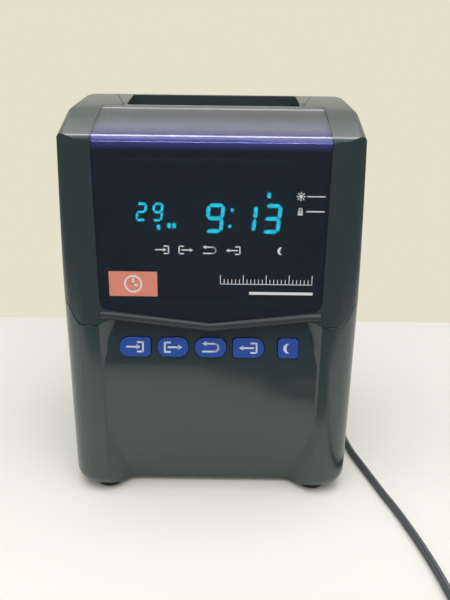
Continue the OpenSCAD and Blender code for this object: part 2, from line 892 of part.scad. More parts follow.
function gear_outline(n, phase) =
    let (pitch_r = gear_module * n / 2, base_r = pitch_r * cos(pressure))
    let (root_r = pitch_r - 1.25 * gear_module, tip_r = pitch_r + 0.9 * gear_module)
    let (low_r = max(base_r, root_r + 0.05))
    let (radii = [for (i = [0:3]) low_r + (tip_r - low_r) * i / 3])
    [for (k = [0:n - 1])
        let (a = 360 / n * k + phase)
        each concat(
            [root_r * [cos(a - flank(n, low_r)), sin(a - flank(n, low_r))]],
            [for (r = radii) r * [cos(a - flank(n, r)), sin(a - flank(n, r))]],
            [for (i = [3:-1:0]) radii[i] * [cos(a + flank(n, radii[i])), sin(a + flank(n, radii[i]))]],
            [root_r * [cos(a + flank(n, low_r)), sin(a + flank(n, low_r))]]
        )];

// On the line between the two axes the gear shows a tooth and the pinion a gap
module gear_at(n, phase, y, z) {
    translate([0, y, z]) along_x(gear_x, gear_x + gear_w) polygon(gear_outline(n, phase));
}

module feed_gear() {
    color("#e3ddc8")
    difference() {
        gear_at(gear_teeth, -motor_angle, feed_y, feed_z);
        rod_x(feed_shaft_r, gear_x - 1, gear_x + gear_w + 1, feed_y, feed_z);
        for (a = [0:60:300])
            translate([0, feed_y, feed_z]) rotate([a, 0, 0])
                rod_x(3, gear_x - 1, gear_x + gear_w + 1, 11, 0);
    }
}

module feed_pinion() {
    color("#d8b25a") {
        gear_at(pinion_teeth, 180 - motor_angle + 180 / pinion_teeth, feed_motor_y, feed_motor_z);
        rod_x(motor_shaft_r, frame_in - 12, gear_x + gear_w + 1, feed_motor_y, feed_motor_z);
    }
}

module motor_can(r, l, bore_l) {
    difference() {
        union() {
            cylinder(r = r, h = l - 2);
            cylinder(r = r - 1.5, h = l);
            translate([0, 0, 2]) cylinder(r = r + 0.4, h = 3);
            translate([r - 3, -5, 3]) cube([6, 10, 8]);
        }
        translate([0, 0, l - bore_l]) cylinder(r = motor_shaft_r + run_gap, h = bore_l + 1);
    }
}

module feed_motor() {
    color("#8d9190")
    translate([frame_in - feed_motor_l, feed_motor_y, feed_motor_z])
        rotate([0, 90, 0]) rotate([0, 0, 180]) motor_can(feed_motor_r, feed_motor_l, 14);
}

module pinch_rollers() {
    color("#4a4d4c") {
        rod_x(pinch_axle_r, -frame_in - 1, frame_in + 1, pinch_y, feed_z);
        for (x = [-roller_x, roller_x]) {
            rod_x(pinch_r, x - roller_w / 2 + 1, x + roller_w / 2 - 1, pinch_y, feed_z);
            rod_x(pinch_r - 2, x - roller_w / 2 - 2, x + roller_w / 2 + 2, pinch_y, feed_z);
        }
    }
}

// Printer

module guide_rails() {
    color("#d8d8d4") {
        rod_x(shaft_r, -frame_in - frame_t, frame_in + frame_t, shaft_y, rail_z);
        rod_x(rail_r, -frame_in - frame_t, frame_in + frame_t, rail_y, rail_z);
    }
}

module carriage() {
    lug_y = belt_t / 2 + fit_gap + 1.6;
    color("#303433")
    difference() {
        union() {
            along_x(-carriage_w / 2, carriage_w / 2)
                polygon(box_outline(rail_y - rail_r - 3, carriage_top - carriage_h,
                    head_y - 2, carriage_top, 2));
            box([-4, belt_y - lug_y, belt_z - 1], [4, belt_y + lug_y, carriage_top - carriage_h + 1]);
        }
        rod_x(shaft_r + run_gap, -carriage_w, carriage_w, shaft_y, rail_z);
        rod_x(rail_r + run_gap, -carriage_w, carriage_w, rail_y, rail_z);
        box([-5, belt_y - belt_t / 2 - fit_gap, belt_z - 2],
            [5, belt_y + belt_t / 2 + fit_gap, belt_z + belt_w + 0.6]);
    }
}

module print_head() {
    color("#5b5f60")
    difference() {
        union() {
            box([-head_w / 2, head_y - head_d, carriage_top], [head_w / 2, head_y - 1, print_z + 8]);
            box([-5, head_y - 2, print_z - 5], [5, head_y, print_z + 5]);
        }
        for (i = [0:3])
            box([-head_w / 2 - 1, head_y - head_d - 1, carriage_top + 4 + 4 * i],
                [head_w / 2 + 1, head_y - head_d + 4, carriage_top + 6 + 4 * i]);
    }
}

module carriage_belt() {
    color("#222322")
    difference() {
        belt_loop(pulley_r + belt_t / 2);
        belt_loop(pulley_r - belt_t / 2, 1);
    }
}

module belt_loop(r, extra = 0) {
    along_z(belt_z - extra, belt_z + belt_w + extra) {
        for (x = [-pulley_x, pulley_x]) translate([x, pulley_y]) circle(r = r);
        translate([-pulley_x, pulley_y - r]) square([2 * pulley_x, 2 * r]);
    }
}

module pulley(x, bore_r) {
    difference() {
        union() {
            rod_z(pulley_r - belt_t / 2 - 0.1, belt_z - 1.5, belt_z + belt_w + 1.5, x, pulley_y);
            rod_z(flange_r, belt_z - 2.5, belt_z - fit_gap, x, pulley_y);
            rod_z(flange_r, belt_z + belt_w + fit_gap, belt_z + belt_w + 2, x, pulley_y);
        }
        rod_z(bore_r, belt_z - 5, belt_z + belt_w + 5, x, pulley_y);
    }
}

module drive_pulley() {
    color("#d8d2bd") pulley(pulley_x, motor_shaft_r / 2);
    color("#c9c9c2")
        rod_z(motor_shaft_r, shelf_z - frame_t - 12, belt_z + belt_w + 3, pulley_x, pulley_y);
}

module idler_pulley() {
    color("#d8d2bd") pulley(-pulley_x, motor_shaft_r + run_gap);
}

module carriage_motor() {
    color("#8d9190")
    translate([pulley_x, pulley_y, shelf_z - frame_t - carriage_motor_l])
        rotate([0, 0, 90]) motor_can(carriage_motor_r, carriage_motor_l, 14);
}

module ribbon_case() {
    low = print_z - case_h / 2;
    high = print_z + case_h / 2;
    color("#17191a")
    difference() {
        union() {
            along_z(low, high)
                polygon(box_outline(-case_half, case_back - case_d, case_half, case_back, 3));
            both_sides() {
                box([case_half - horn_w, case_back - 3, low], [case_half, ribbon_y - ribbon_t, high]);
                box([case_half - 4, case_back - 12, print_z - 4], [frame_in, case_back - 4, print_z]);
            }
        }
        box([-case_half + 1.5, case_back - case_d + 1.5, low - 1],
            [case_half - 1.5, case_back - 1.5, high - 1.5]);
        rod_z(2.5 + run_gap, high - 5, high + 1, knob_x, case_back - case_d / 2);
    }
}

module ribbon_band() {
    color("#2b1f4a")
    box([-case_half + 0.5, ribbon_y - ribbon_t, print_z - ribbon_h / 2],
        [case_half - 0.5, ribbon_y, print_z + ribbon_h / 2]);
}

module ribbon_knob() {
    high = print_z + case_h / 2;
    color("#c8cac6")
    difference() {
        union() {
            rod_z(knob_r, high + fit_gap, high + 6, knob_x, case_back - case_d / 2);
            rod_z(2.5, high - 12, high + 1, knob_x, case_back - case_d / 2);
        }
        for (a = [0:30:330])
            translate([knob_x, case_back - case_d / 2, 0]) rotate([0, 0, a])
                rod_z(0.9, high, high + 7, knob_r + 0.2, 0);
    }
}

// Buttons and boards

module button(i) {
    stem_end = -button_board_w + 1 + button_travel;
    color("#2b4ba0")
    on_panel() translate([button_x[i], 0, 0]) {
        translate([0, 0, -wall - fit_gap - button_flange_t])
            linear_extrude(button_proud + wall + fit_gap + button_flange_t) button_outline(i, 0);
        translate([0, 0, -wall - fit_gap - button_flange_t])
            linear_extrude(button_flange_t) button_outline(i, button_flange);
        translate([0, 0, stem_end]) cylinder(r = stem_r, h = -wall - stem_end);
    }
}

module clock_in_button() { button(0); }
module go_out_button() { button(1); }
module come_back_button() { button(2); }
module clock_out_button() { button(3); }
module overnight_button() { button(4); }

module button_switches() {
    color("#1b1c1c")
    for (x = button_x)
        on_panel() translate([x, 0, -button_board_w])
            difference() {
                translate([0, 0, switch_h / 2]) cube([switch_size, switch_size, switch_h], center = true);
                translate([0, 0, 0.6]) cylinder(r = stem_r + fit_gap, h = switch_h);
            }
}

module button_board() {
    color("#2f6b45")
    on_panel() difference() {
        translate([-button_board_half, button_board_low, -button_board_w - board_t])
            cube([2 * button_board_half, button_board_high - button_board_low, board_t]);
        for (u = [-button_boss_u, button_boss_u])
            translate([u, button_boss_v, -button_board_w - 5]) cylinder(r = screw_r, h = 10);
    }
}

module main_board() {
    color("#2f6b45")
    difference() {
        box([-main_board_half, main_board_y, main_board_low],
            [main_board_half, main_board_y + board_t, main_board_high]);
        for (x = [-main_boss_x, main_boss_x], z = main_boss_z)
            rod_y(screw_r, main_board_y - 1, main_board_y + 3, x, z);
    }
}

// Chips by place on the board: X, Z, width, height, thickness
chips = [
    [-8, 74, 22, 22, 2.4], [24, 84, 12, 30, 3], [-32, 84, 10, 14, 2.4], [-32, 56, 14, 10, 2.4],
    [26, 52, 16, 7, 6], [-16, 34, 30, 7, 8], [40, 64, 12, 9, 9]
];

module board_chips() {
    color("#1a1b1b")
    for (c = chips)
        box([c[0] - c[2] / 2, main_board_y - c[4], c[1] - c[3] / 2],
            [c[0] + c[2] / 2, main_board_y, c[1] + c[3] / 2]);
}

module board_capacitors() {
    top = power_board_z + board_t;
    color("#2a3a66") {
        for (x = [-34, -22]) rod_y(5, main_board_y - 11, main_board_y, x, 104);
        for (x = [-30, -8]) rod_z(8, top, top + 25, x, power_board_front + 15);
        for (x = [14, 26]) rod_z(5, top, top + 14, x, power_board_front + 12);
    }
}

module power_board() {
    color("#2f6b45") {
        box([-power_board_half, power_board_front, power_board_z],
            [power_board_half, power_board_front + power_board_d, power_board_z + board_t]);
    }
    color("#e0dccb")
        box([34, power_board_front + 6, power_board_z + board_t - 0.2],
            [44, power_board_front + 24, power_board_z + board_t + 9]);
}

module transformer_core() {
    color("#5e625f")
    difference() {
        box([trafo_x - trafo_w / 2, trafo_y - trafo_d / 2, floor_z],
            [trafo_x + trafo_w / 2, trafo_y + trafo_d / 2, floor_z + trafo_h]);
        for (s = [-1, 1])
            translate([trafo_x + s * trafo_w / 4, trafo_y, floor_z + trafo_h / 2])
                cube([trafo_w / 4, trafo_d + 2, trafo_h * 0.6], center = true);
    }
}

module transformer_coil() {
    color("#b9a24a")
    difference() {
        translate([trafo_x, trafo_y, floor_z + trafo_h / 2])
            cube([trafo_w * 0.75 - 2 * fit_gap, trafo_d + 12, trafo_h * 0.6 - 2 * fit_gap], center = true);
        translate([trafo_x, trafo_y, floor_z + trafo_h / 2])
            cube([trafo_w / 4, trafo_d, trafo_h], center = true);
        for (s = [-1, 1])
            translate([trafo_x + s * trafo_w * 0.6, trafo_y, floor_z + trafo_h / 2])
                cube([trafo_w * 0.45 + 2 * fit_gap, trafo_d + 2 * fit_gap, trafo_h], center = true);
    }
}

module backup_battery() {
    color("#2e7d5b") {
        for (i = [0:1])
            rod_x(cell_r, battery_low, battery_high, battery_y + i * (2 * cell_r - 0.4), floor_z + cell_r);
        box([battery_low, battery_y, floor_z],
            [battery_high, battery_y + 2 * cell_r - 0.4, floor_z + 4]);
    }
}

// Hood

window_outline = rounded([
    [-window_half, window_end_z, window_r], [0, window_apex_z, 0], [window_half, window_end_z, window_r],
    [window_half, body_h + 5, 0], [-window_half, body_h + 5, 0]
]);

module window_prism(grow) {
    along_y(front - 5, slot_front + grow) polygon(inset(window_outline, -grow));
}

// The slot's mouth is longer at its rear edge
slot_outline = [
    [-slot_front_half, slot_front], [slot_front_half, slot_front],
    [slot_rear_half, slot_back], [-slot_rear_half, slot_back]
];

module slot_prism(grow) {
    along_z(funnel_z, body_h + 5) polygon(inset(slot_outline, -grow));
}

module lip() {
    intersection() {
        body_form(0);
        difference() {
            above_lip(seam_gap / 2, lip_shelf);
            above_lip(seam_gap / 2 + lip_floor_t, lip_shelf + 1);
        }
        box([-lip_turn_x, front, 0], [lip_turn_x, front + lip_shelf, body_h]);
    }
}

// Half-round bead along both runs of the lip's V and level on to the pillars
module bead_bar(x0, x1) {
    along_x(x0, x1) polygon([for (a = [90:-18:-90]) bead_r * [-cos(a), sin(a)]]);
}

module lip_bead() {
    rise = lip_end_z - lip_apex_z;
    fall = atan2(rise, lip_end_x);
    translate([0, front + bead_r - bead_out, lip_apex_z + seam_gap / 2 + bead_r + 0.3])
        both_sides() {
            intersection() {
                rotate([0, -fall, 0]) bead_bar(-bead_r, norm([lip_end_x, rise]) + bead_r * tan(fall));
                box([0, -body_d, -body_h], [body_w, body_d, body_h]);
            }
            translate([0, 0, rise]) bead_bar(lip_end_x, bead_end_x);
        }
}

module display_boss(x, z) {
    rod_y(3, front + wall / 2, front + board_in, x, z);
}

module hood_shell() {
    color("#343a39")
    difference() {
        union() {
            intersection() {
                difference() {
                    body_form(0);
                    body_form(wall);
                }
                hood_zone(seam_gap / 2);
            }
            lip();
            lip_bead();
            for (x = [-display_boss_x, display_boss_x], z = display_boss_z) display_boss(x, z);
            both_sides() knuckle(hood_knuckle, hinge_r);
        }
        window_prism(window_gap);
        slot_prism(0);
        for (x = [-display_boss_x, display_boss_x], z = display_boss_z)
            rod_y(screw_r, front + wall + 1, front + board_in + 1, x, z);
        both_sides() {
            for (s = base_knuckles) knuckle(s + [-seam_gap, seam_gap], hinge_r + seam_gap);
            rod_x(hinge_pin_r + run_gap, hinge_x - 30, hinge_x + 30, back, hinge_z);
        }
        rod_x(lock_r + run_gap, half_w - 12, half_w + 1, lock_y, lock_z);
    }
}

module hinge_pins() {
    color("#c9c9c2")
    both_sides() rod_x(hinge_pin_r, base_knuckles[0][0], base_knuckles[1][1], back, hinge_z);
}

module display_window() {
    color("#12162c")
    difference() {
        union() {
            intersection() {
                difference() {
                    body_form(0);
                    body_form(wall + window_flange_t);
                }
                window_prism(0);
            }
            intersection() {
                difference() {
                    body_form(wall);
                    body_form(wall + window_flange_t);
                }
                window_prism(window_flange);
                box([-body_w, front, window_apex_z - 1.5], [body_w, slot_front - window_gap, body_h]);
            }
        }
        slot_prism(window_gap);
    }
}

// Inside of the funnel drawn t larger, from the mouth down to the exit
funnel_front = [
    [-funnel_exit_half, funnel_z - 1], [funnel_exit_half, funnel_z - 1],
    [slot_front_half - funnel_wall, body_h], [slot_front_half - funnel_wall, body_h + 5],
    [funnel_wall - slot_front_half, body_h + 5], [funnel_wall - slot_front_half, body_h]
];
funnel_side = [
    [card_y - funnel_exit_d / 2, funnel_z - 1], [card_y + funnel_exit_d / 2, funnel_z - 1],
    [slot_back - funnel_wall, funnel_z + 14], [slot_back - funnel_wall, body_h + 5],
    [slot_front + funnel_wall, body_h + 5], [slot_front + funnel_wall, funnel_z + 14]
];

module funnel_throat(t) {
    intersection() {
        along_y(slot_front - 5, slot_back + 5) polygon(inset(funnel_front, -t));
        along_x(-body_w, body_w) polygon(inset(funnel_side, -t));
        slot_prism(t - funnel_wall);
    }
}

module card_funnel() {
    flange = 3;
    color("#2a2f2f")
    difference() {
        union() {
            intersection() {
                body_form(0);
                slot_prism(-window_gap);
                funnel_throat(funnel_wall);
            }
            intersection() {
                difference() {
                    body_form(0);
                    body_form(wall + window_flange_t);
                }
                slot_prism(-window_gap);
            }
            intersection() {
                difference() {
                    body_form(wall);
                    body_form(wall + window_flange_t);
                }
                slot_prism(flange);
                box([-body_w, slot_front + window_gap, funnel_z], [body_w, slot_back + flange, body_h]);
            }
        }
        funnel_throat(0);
    }
}

// Display module

module display_board() {
    color("#2f6b45")
    difference() {
        union() {
            box([-display_board_half, front + board_in, display_low],
                [display_board_half, front + board_in + board_t, display_high]);
            for (z = display_boss_z)
                box([-display_boss_x - 3, front + board_in, z - 4],
                    [display_boss_x + 3, front + board_in + board_t, z + 4]);
        }
        for (x = [-display_boss_x, display_boss_x], z = display_boss_z)
            rod_y(screw_r, front + board_in - 1, front + board_in + 5, x, z);
    }
}

module display_tube() {
    color("#8fb5b0", 0.4)
    difference() {
        along_y(front + tube_in, front + board_in)
            polygon(box_outline(-tube_half, tube_low, tube_half, tube_low + tube_h, 1.5));
        box([-tube_half + 1.5, front + tube_in + 1.5, tube_low + 1.5],
            [tube_half - 1.5, front + board_in + 1, tube_low + tube_h - 1.5]);
    }
}

module display_plate() {
    color("#101214")
    box([-tube_half + 2, front + digit_in + digit_t, tube_low + 2],
        [tube_half - 2, front + board_in, tube_low + tube_h - 2]);
}

// Strokes of a digit as bars between six points, leaning with the height
function lean(p) = [p[0] + slant * p[1], p[1]];

function bar(a, b, s) =
    let (d = unit(b - a), n = [-d[1], d[0]] * s / 2, g = d * 0.12 * s, e = d * (0.12 * s + s / 2))
    [for (p = [a + g, a + e - n, b - e - n, b - g, b - e + n, a + e + n]) lean(p)];

digit_strokes = [
    [[0, 2], [1, 2]], [[1, 1], [1, 2]], [[1, 0], [1, 1]], [[0, 0], [1, 0]],
    [[0, 0], [0, 1]], [[0, 1], [0, 2]], [[0, 1], [1, 1]]
];
stroke_use = [[1, [1, 2]], [2, [0, 1, 6, 4, 3]], [3, [0, 1, 6, 2, 3]], [9, [0, 1, 2, 3, 5, 6]]];

function strokes_of(n) = [for (u = stroke_use) if (u[0] == n) each u[1]];

module digit(n, x, top, h, w, s) {
    for (i = strokes_of(n)) {
        from = digit_strokes[i][0];
        to = digit_strokes[i][1];
        step = [w - s, (h - s) / 2];
        translate([x + s / 2, top - h + s / 2])
            polygon(bar([from[0] * step[0], from[1] * step[1]], [to[0] * step[0], to[1] * step[1]], s));
    }
}

module display_digits() {
    top = digit_z + digit_h / 2;
    big_w = 9.6;
    date_w = 5.6;
    color("#19d6e0")
    along_y(front + digit_in, front + digit_in + digit_t) {
        digit(2, date_x, top, small_digit_h, date_w, 1.3);
        digit(9, date_x + date_w + 3, top, small_digit_h, date_w, 1.3);
        digit(9, -3.8, top, digit_h, big_w, stroke);
        digit(1, 13.4, top, digit_h, big_w, stroke);
        digit(3, 26.2, top, digit_h, big_w, stroke);
        for (d = [[10.8, 4.4], [9.6, -4.2]])
            translate([d[0], digit_z + d[1]]) polygon(box_outline(-0.8, -0.8, 0.8, 0.8, 0.3));
        for (d = [[-27.9, -5.2], [-22.4, -4.2], [-19.8, -4.2], [29.8, 12.2]])
            translate([d[0], digit_z + d[1]]) polygon(box_outline(-0.9, -1.3, 0.9, 1.3, 0.3));
    }
}

module display_screws() {
    color("#c9c9c2")
    for (x = [-display_boss_x, display_boss_x], z = display_boss_z)
        difference() {
            union() {
                rod_y(head_r, front + board_in + board_t, front + board_in + board_t + 1.6, x, z);
                rod_y(screw_r - run_gap, front + board_in - 6, front + board_in + board_t + 0.5, x, z);
            }
            translate([x, front + board_in + board_t + 1.8, z]) cube([3.6, 1.6, 0.7], center = true);
            translate([x, front + board_in + board_t + 1.8, z]) cube([0.7, 1.6, 3.6], center = true);
        }
}

// Lock: at rest the cam points to the rear, a quarter turn drops it behind the strike

module lock_barrel() {
    color("#b9bab6")
    difference() {
        union() {
            rod_x(lock_r, lock_face - barrel_l, lock_face, lock_y, lock_z);
            rod_x(lock_flange_r, lock_seat - lock_flange_t, lock_seat, lock_y, lock_z);
        }
        rod_x(lock_plug_r + run_gap, lock_face - barrel_l - 1, lock_face + 1, lock_y, lock_z);
    }
}

module lock_plug() {
    color("#cfcfca")
    difference() {
        rod_x(lock_plug_r, cam_x - 0.5, lock_face - 0.2, lock_y, lock_z);
        translate([lock_face, lock_y, lock_z]) cube([8, 0.9, 4.6], center = true);
    }
}

module lock_cam() {
    color("#a9aaa6")
    difference() {
        along_x(cam_x, cam_x + cam_t)
            polygon(box_outline(lock_y - cam_w / 2, lock_z - cam_w / 2,
                lock_y + cam_l - cam_w / 2, lock_z + cam_w / 2, 3));
        rod_x(lock_plug_r, cam_x - 1, cam_x + cam_t + 1, lock_y, lock_z);
    }
}

// Cord

// Cross-section of the flat cord, standing on its edge: sideways, upwards
cord_section = [for (p = [[0.5, -0.28], [0.5, 0.28], [0.27, 0.5], [-0.27, 0.5],
    [-0.5, 0.28], [-0.5, -0.28], [-0.27, -0.5], [0.27, -0.5]]) [p[0] * cord_t, p[1] * cord_w]];
coil_section = [for (p = [[0.5, -0.3], [0.5, 0.3], [0, 0.5], [-0.5, 0.3], [-0.5, -0.3], [0, -0.5]])
    [p[0] * cord_t, p[1] * cord_w]];

// Smooth points between the route's own points
function blend4(a, b, c, d, t) =
    0.5 * (2 * b + (c - a) * t + (2 * a - 5 * b + 4 * c - d) * t * t + (3 * b - a - 3 * c + d) * t * t * t);

function smooth_route(p, n) =
    let (last = len(p) - 1)
    concat(
        [for (i = [0:last - 1], k = [0:n - 1])
            blend4(p[max(0, i - 1)], p[i], p[i + 1], p[min(last, i + 2)], k / n)],
        [p[last]]
    );

function heading(p, i) =
    let (d = p[min(len(p) - 1, i + 1)] - p[max(0, i - 1)])
    unit([d[0], d[1], 0]);

// A tube of one section along points, its width kept upright
module tube(p, section) {
    n = len(section);
    last = len(p) - 1;
    points = [for (i = [0:last], s = section)
        let (h = heading(p, i)) p[i] + s[0] * [h[1], -h[0], 0] + [0, 0, s[1]]];
    sides = [for (i = [0:last - 1], k = [0:n - 1], half = [0, 1])
        let (a = i * n + k, b = i * n + (k + 1) % n)
        half == 0 ? [a, b, b + n] : [a, b + n, a + n]];
    ends = [for (k = [1:n - 2], e = [0, 1])
        e == 0 ? [0, k + 1, k] : [last * n, last * n + k, last * n + k + 1]];
    polyhedron(points = points, faces = concat(sides, ends), convexity = 10);
}

module cord_gland() {
    color("#1a1c20")
    translate([gland_x, back, gland_z]) rotate([-90, 0, 0])
        rotate_extrude()
            polygon([[0, -wall - 2], [gland_r + 1, -wall - 2], [gland_r + 1, -wall],
                [gland_r - 1.5, -wall], [gland_r - 1.5, 0], [gland_r, 0], [gland_r, 4],
                [gland_r - 1, 5], [gland_tip_r, gland_l], [0, gland_l]]);
}

module power_cord() {
    color("#23262f") tube(smooth_route(cord_route, 2), cord_section);
}

coil_rings = 24;
coil_steps = ceil(coil_turns * coil_rings);
half_turns = coil_turns / 2;

function coil_radius(t) = coil_r - coil_pitch * (half_turns - abs(t - half_turns));

function coil_height(t) =
    let (u = min(1, max(0, (t - half_turns + 0.25) / 0.5)))
    coil_z + coil_layer * u * u * (3 - 2 * u);

function coil_point(t) =
    [coil_x + coil_radius(t) * cos(-360 * t), coil_y + coil_radius(t) * sin(-360 * t), coil_height(t)];

coil_loops = [for (i = [0:coil_steps]) coil_point(coil_turns * i / coil_steps)];
coil_path = concat(
    [[cord_end_x, cord_end_y, coil_z]],
    coil_loops,
    [coil_loops[coil_steps] + [-coil_lead, 0, 0]]
);

// Least gap of the coil to itself, between rings at least half a turn apart, with the section
// taken as a flat bar with round edges that encloses it
coil_edge_r = norm([cord_t / 2, 0.3 * cord_w - (cord_w - cord_t) / 2]);
coil_gap = min([for (i = [0:coil_steps], j = [i + coil_rings / 2:coil_steps])
    let (d = coil_loops[j] - coil_loops[i])
    norm([d[0], d[1], max(0, abs(d[2]) - cord_w + cord_t)]) - 2 * coil_edge_r]);
echo(coil_gap = coil_gap);

module cord_coil() {
    color("#23262f") tube(coil_path, coil_section);
}

module coil_tie() {
    inner = coil_radius(half_turns) - cord_t / 2 - fit_gap;
    outer = coil_r + cord_t / 2 + fit_gap;
    top = coil_z + coil_layer + cord_w / 2 + fit_gap;
    color("#1a1c20")
    translate([coil_x, coil_y, 0]) rotate([0, 0, 150])
        difference() {
            box([inner - tie_t, -tie_w / 2, 0], [outer + tie_t, tie_w / 2, top + tie_t]);
            box([inner, -tie_w, tie_t], [outer, tie_w, top]);
        }
}

plug_y = coil_y - coil_r;
plug_z = coil_z + coil_layer;
plug_x = coil_x - coil_lead;

module plug_body() {
    color("#1a1c20") {
        translate([plug_x, plug_y, plug_z]) rotate([0, -90, 0])
            cylinder(r1 = cord_w / 2 + 0.25, r2 = 5, h = plug_boot_l + 1);
        along_x(plug_x - plug_boot_l - plug_l, plug_x - plug_boot_l)
            polygon(box_outline(plug_y - plug_w / 2, 0, plug_y + plug_w / 2, 2 * plug_z, 5));
    }
}

module plug_blades() {
    end = plug_x - plug_boot_l - plug_l;
    color("#d4c9a0")
    for (s = [-1, 1])
        box([end - blade_l, plug_y + s * blade_pitch / 2 - blade_t / 2, plug_z - blade_w / 2],
            [end, plug_y + s * blade_pitch / 2 + blade_t / 2, plug_z + blade_w / 2]);
}

base_shell();
bottom_plate();
rubber_feet();
base_screws();
left_frame();
right_frame();
frame_screws();
printer_shelf();
front_card_guide();
rear_card_guide();
platen();
guide_rails();
carriage_belt();
carriage_motor();
feed_motor();
ribbon_case();
ribbon_band();
button_board();
button_switches();
main_board();
board_chips();
board_capacitors();
power_board();
transformer_core();
transformer_coil();
backup_battery();
hinge_pins();
cord_gland();
power_cord();
cord_coil();
coil_tie();
plug_body();
plug_blades();
hood_shell();
display_window();
card_funnel();
display_board();
display_tube();
display_plate();
display_digits();
display_screws();
lock_barrel();
lock_plug();
lock_cam();
clock_in_button();
go_out_button();
come_back_button();
clock_out_button();
overnight_button();
carriage();
print_head();
drive_pulley();
idler_pulley();
feed_shaft();
feed_rollers();
feed_gear();
feed_pinion();
pinch_rollers();
ribbon_knob();
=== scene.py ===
"""Dresses the desk time recorder: case, smoked window, lit display, buttons, works and flat cord."""
import math

import bpy
from mathutils import Matrix, Vector


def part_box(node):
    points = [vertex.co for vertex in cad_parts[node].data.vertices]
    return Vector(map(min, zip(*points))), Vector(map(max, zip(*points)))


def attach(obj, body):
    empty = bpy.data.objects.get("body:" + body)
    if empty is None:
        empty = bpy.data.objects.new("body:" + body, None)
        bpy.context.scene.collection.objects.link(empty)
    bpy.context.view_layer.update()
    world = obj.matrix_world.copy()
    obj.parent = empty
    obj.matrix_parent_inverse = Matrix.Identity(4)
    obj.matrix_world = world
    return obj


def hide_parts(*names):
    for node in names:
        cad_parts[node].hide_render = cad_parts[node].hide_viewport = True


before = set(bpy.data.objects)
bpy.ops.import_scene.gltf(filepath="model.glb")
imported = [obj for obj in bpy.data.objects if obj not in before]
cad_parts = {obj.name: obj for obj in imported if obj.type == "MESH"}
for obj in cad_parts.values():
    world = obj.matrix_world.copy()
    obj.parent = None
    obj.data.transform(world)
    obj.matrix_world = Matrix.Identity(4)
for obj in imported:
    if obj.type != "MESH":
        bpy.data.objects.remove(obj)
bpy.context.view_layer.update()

bl_info = {
    "name": "Desk time recorder",
    "version": (1, 0, 0),
    "blender": (4, 5, 0),
    "location": "View3D > Sidebar > Clock",
    "description": "Builds the looks of a desk time recorder round its packed solids",
    "category": "Object",
}

MM = 0.001

# Places that the construction fixes, in millimetres
FRONT = -66.0
PANEL_IN = 1.2
RECESS_LOW = 84.0
RECESS_RISE = 27.5
RECESS_IN = 7.0
BUTTON_Z = 94.0
PANEL_ORIGIN = (0.0, FRONT + PANEL_IN + (BUTTON_Z - RECESS_LOW) * RECESS_IN / RECESS_RISE, BUTTON_Z)
PANEL_LEAN = math.degrees(math.atan2(RECESS_IN, RECESS_RISE))

# The two front corners where the seam turns up around the pillars, in millimetres
CORNER_BACK = -20.0
CORNER_LOW = 86.0
CORNER_HIGH = 130.0
CORNER_INSIDE = 62.0

# Copies of CAD meshes: points this close are one (millimetres), faces this level are one (degrees)
SAME_POINT = 0.002
SAME_FACE = 0.6

# Fine moulded grain, in bumps per metre
FINE_GRAIN = 1500

# The cord's route in millimetres: strain relief, table, then a coil that climbs to a second layer
CORD_WIDTH = 5.5
CORD_LIFT = 0.05
CORD_REST = CORD_WIDTH / 2 + CORD_LIFT
TIE_T = 0.8
TIE_GAP = 0.3
COIL_REST = TIE_T + TIE_GAP + CORD_WIDTH / 2
COIL_CENTRE = (78.0, -197.0)
COIL_RADIUS = 37.0
COIL_PITCH = 3.45
COIL_LAYER = 6.1
COIL_TURNS = 7.25
COIL_CLIMB = 0.5
COIL_LEAD = 12.5
ROUTE_STEPS = 4
TURN_STEPS = 48
CORD_EXIT = (52.0, 88.0, 18.0)
CORD_ROUTE = [
    CORD_EXIT, (52, 94, 18), (54, 103, 16.5), (59, 111, 13), (67, 116, 9), (77, 117, 5.5),
    (86, 113, 3.5), (93, 105, CORD_REST), (96, 94, CORD_REST), (97, 80, CORD_REST),
    (97, 64, CORD_REST), (96, 46, CORD_REST), (94, 26, CORD_REST), (92.5, 6, CORD_REST),
    (92.5, -10, CORD_REST), (94, -24, CORD_REST), (97, -38, CORD_REST), (100, -52, CORD_REST),
    (103, -66, CORD_REST), (106.5, -80, CORD_REST), (109.5, -95, CORD_REST), (112, -110, CORD_REST),
    (114, -126, CORD_REST), (115, -142, CORD_REST), (115.3, -158, CORD_REST),
    (115, -176, COIL_REST - 0.4), (115, -186, COIL_REST), (115, -191.5, COIL_REST),
]

BUTTONS = ("clock_in", "go_out", "come_back", "clock_out", "overnight")

# Signs as strokes in a box two wide and one high: bars, discs, rings, triangles and a crescent
DOOR_RIGHT = [("bar", 0.3, -0.5, 0.85, -0.5), ("bar", 0.85, -0.5, 0.85, 0.5), ("bar", 0.85, 0.5, 0.3, 0.5)]
DOOR_LEFT = [(kind, -x0, y0, -x1, y1) for kind, x0, y0, x1, y1 in DOOR_RIGHT]
SIGNS = {
    "clock_in": DOOR_RIGHT + [("bar", -0.85, 0.0, 0.2, 0.0), ("triangle", 0.3, 0.0, 0.3, 0)],
    "go_out": DOOR_LEFT + [("bar", -0.45, 0.0, 0.6, 0.0), ("triangle", 0.7, 0.0, 0.3, 0)],
    "come_back": [
        ("bar", -0.45, 0.42, 0.4, 0.42), ("triangle", -0.6, 0.42, 0.3, 180), ("arc", 0.4, 0.0, 0.42),
        ("bar", 0.4, -0.42, -0.8, -0.42),
    ],
    "clock_out": DOOR_RIGHT + [("bar", 0.5, 0.0, -0.6, 0.0), ("triangle", -0.7, 0.0, 0.3, 180)],
    "overnight": [("crescent", 0.0, 0.0, 0.52)],
}
NOTE_LINE = ("bar", -0.25, 0.0, 1.7, 0.0)
SUN_RAYS = [(math.cos(a), math.sin(a)) for a in (math.radians(d) for d in range(0, 360, 45))]
SUN = [("disc", -1.0, 0.0, 0.2)]
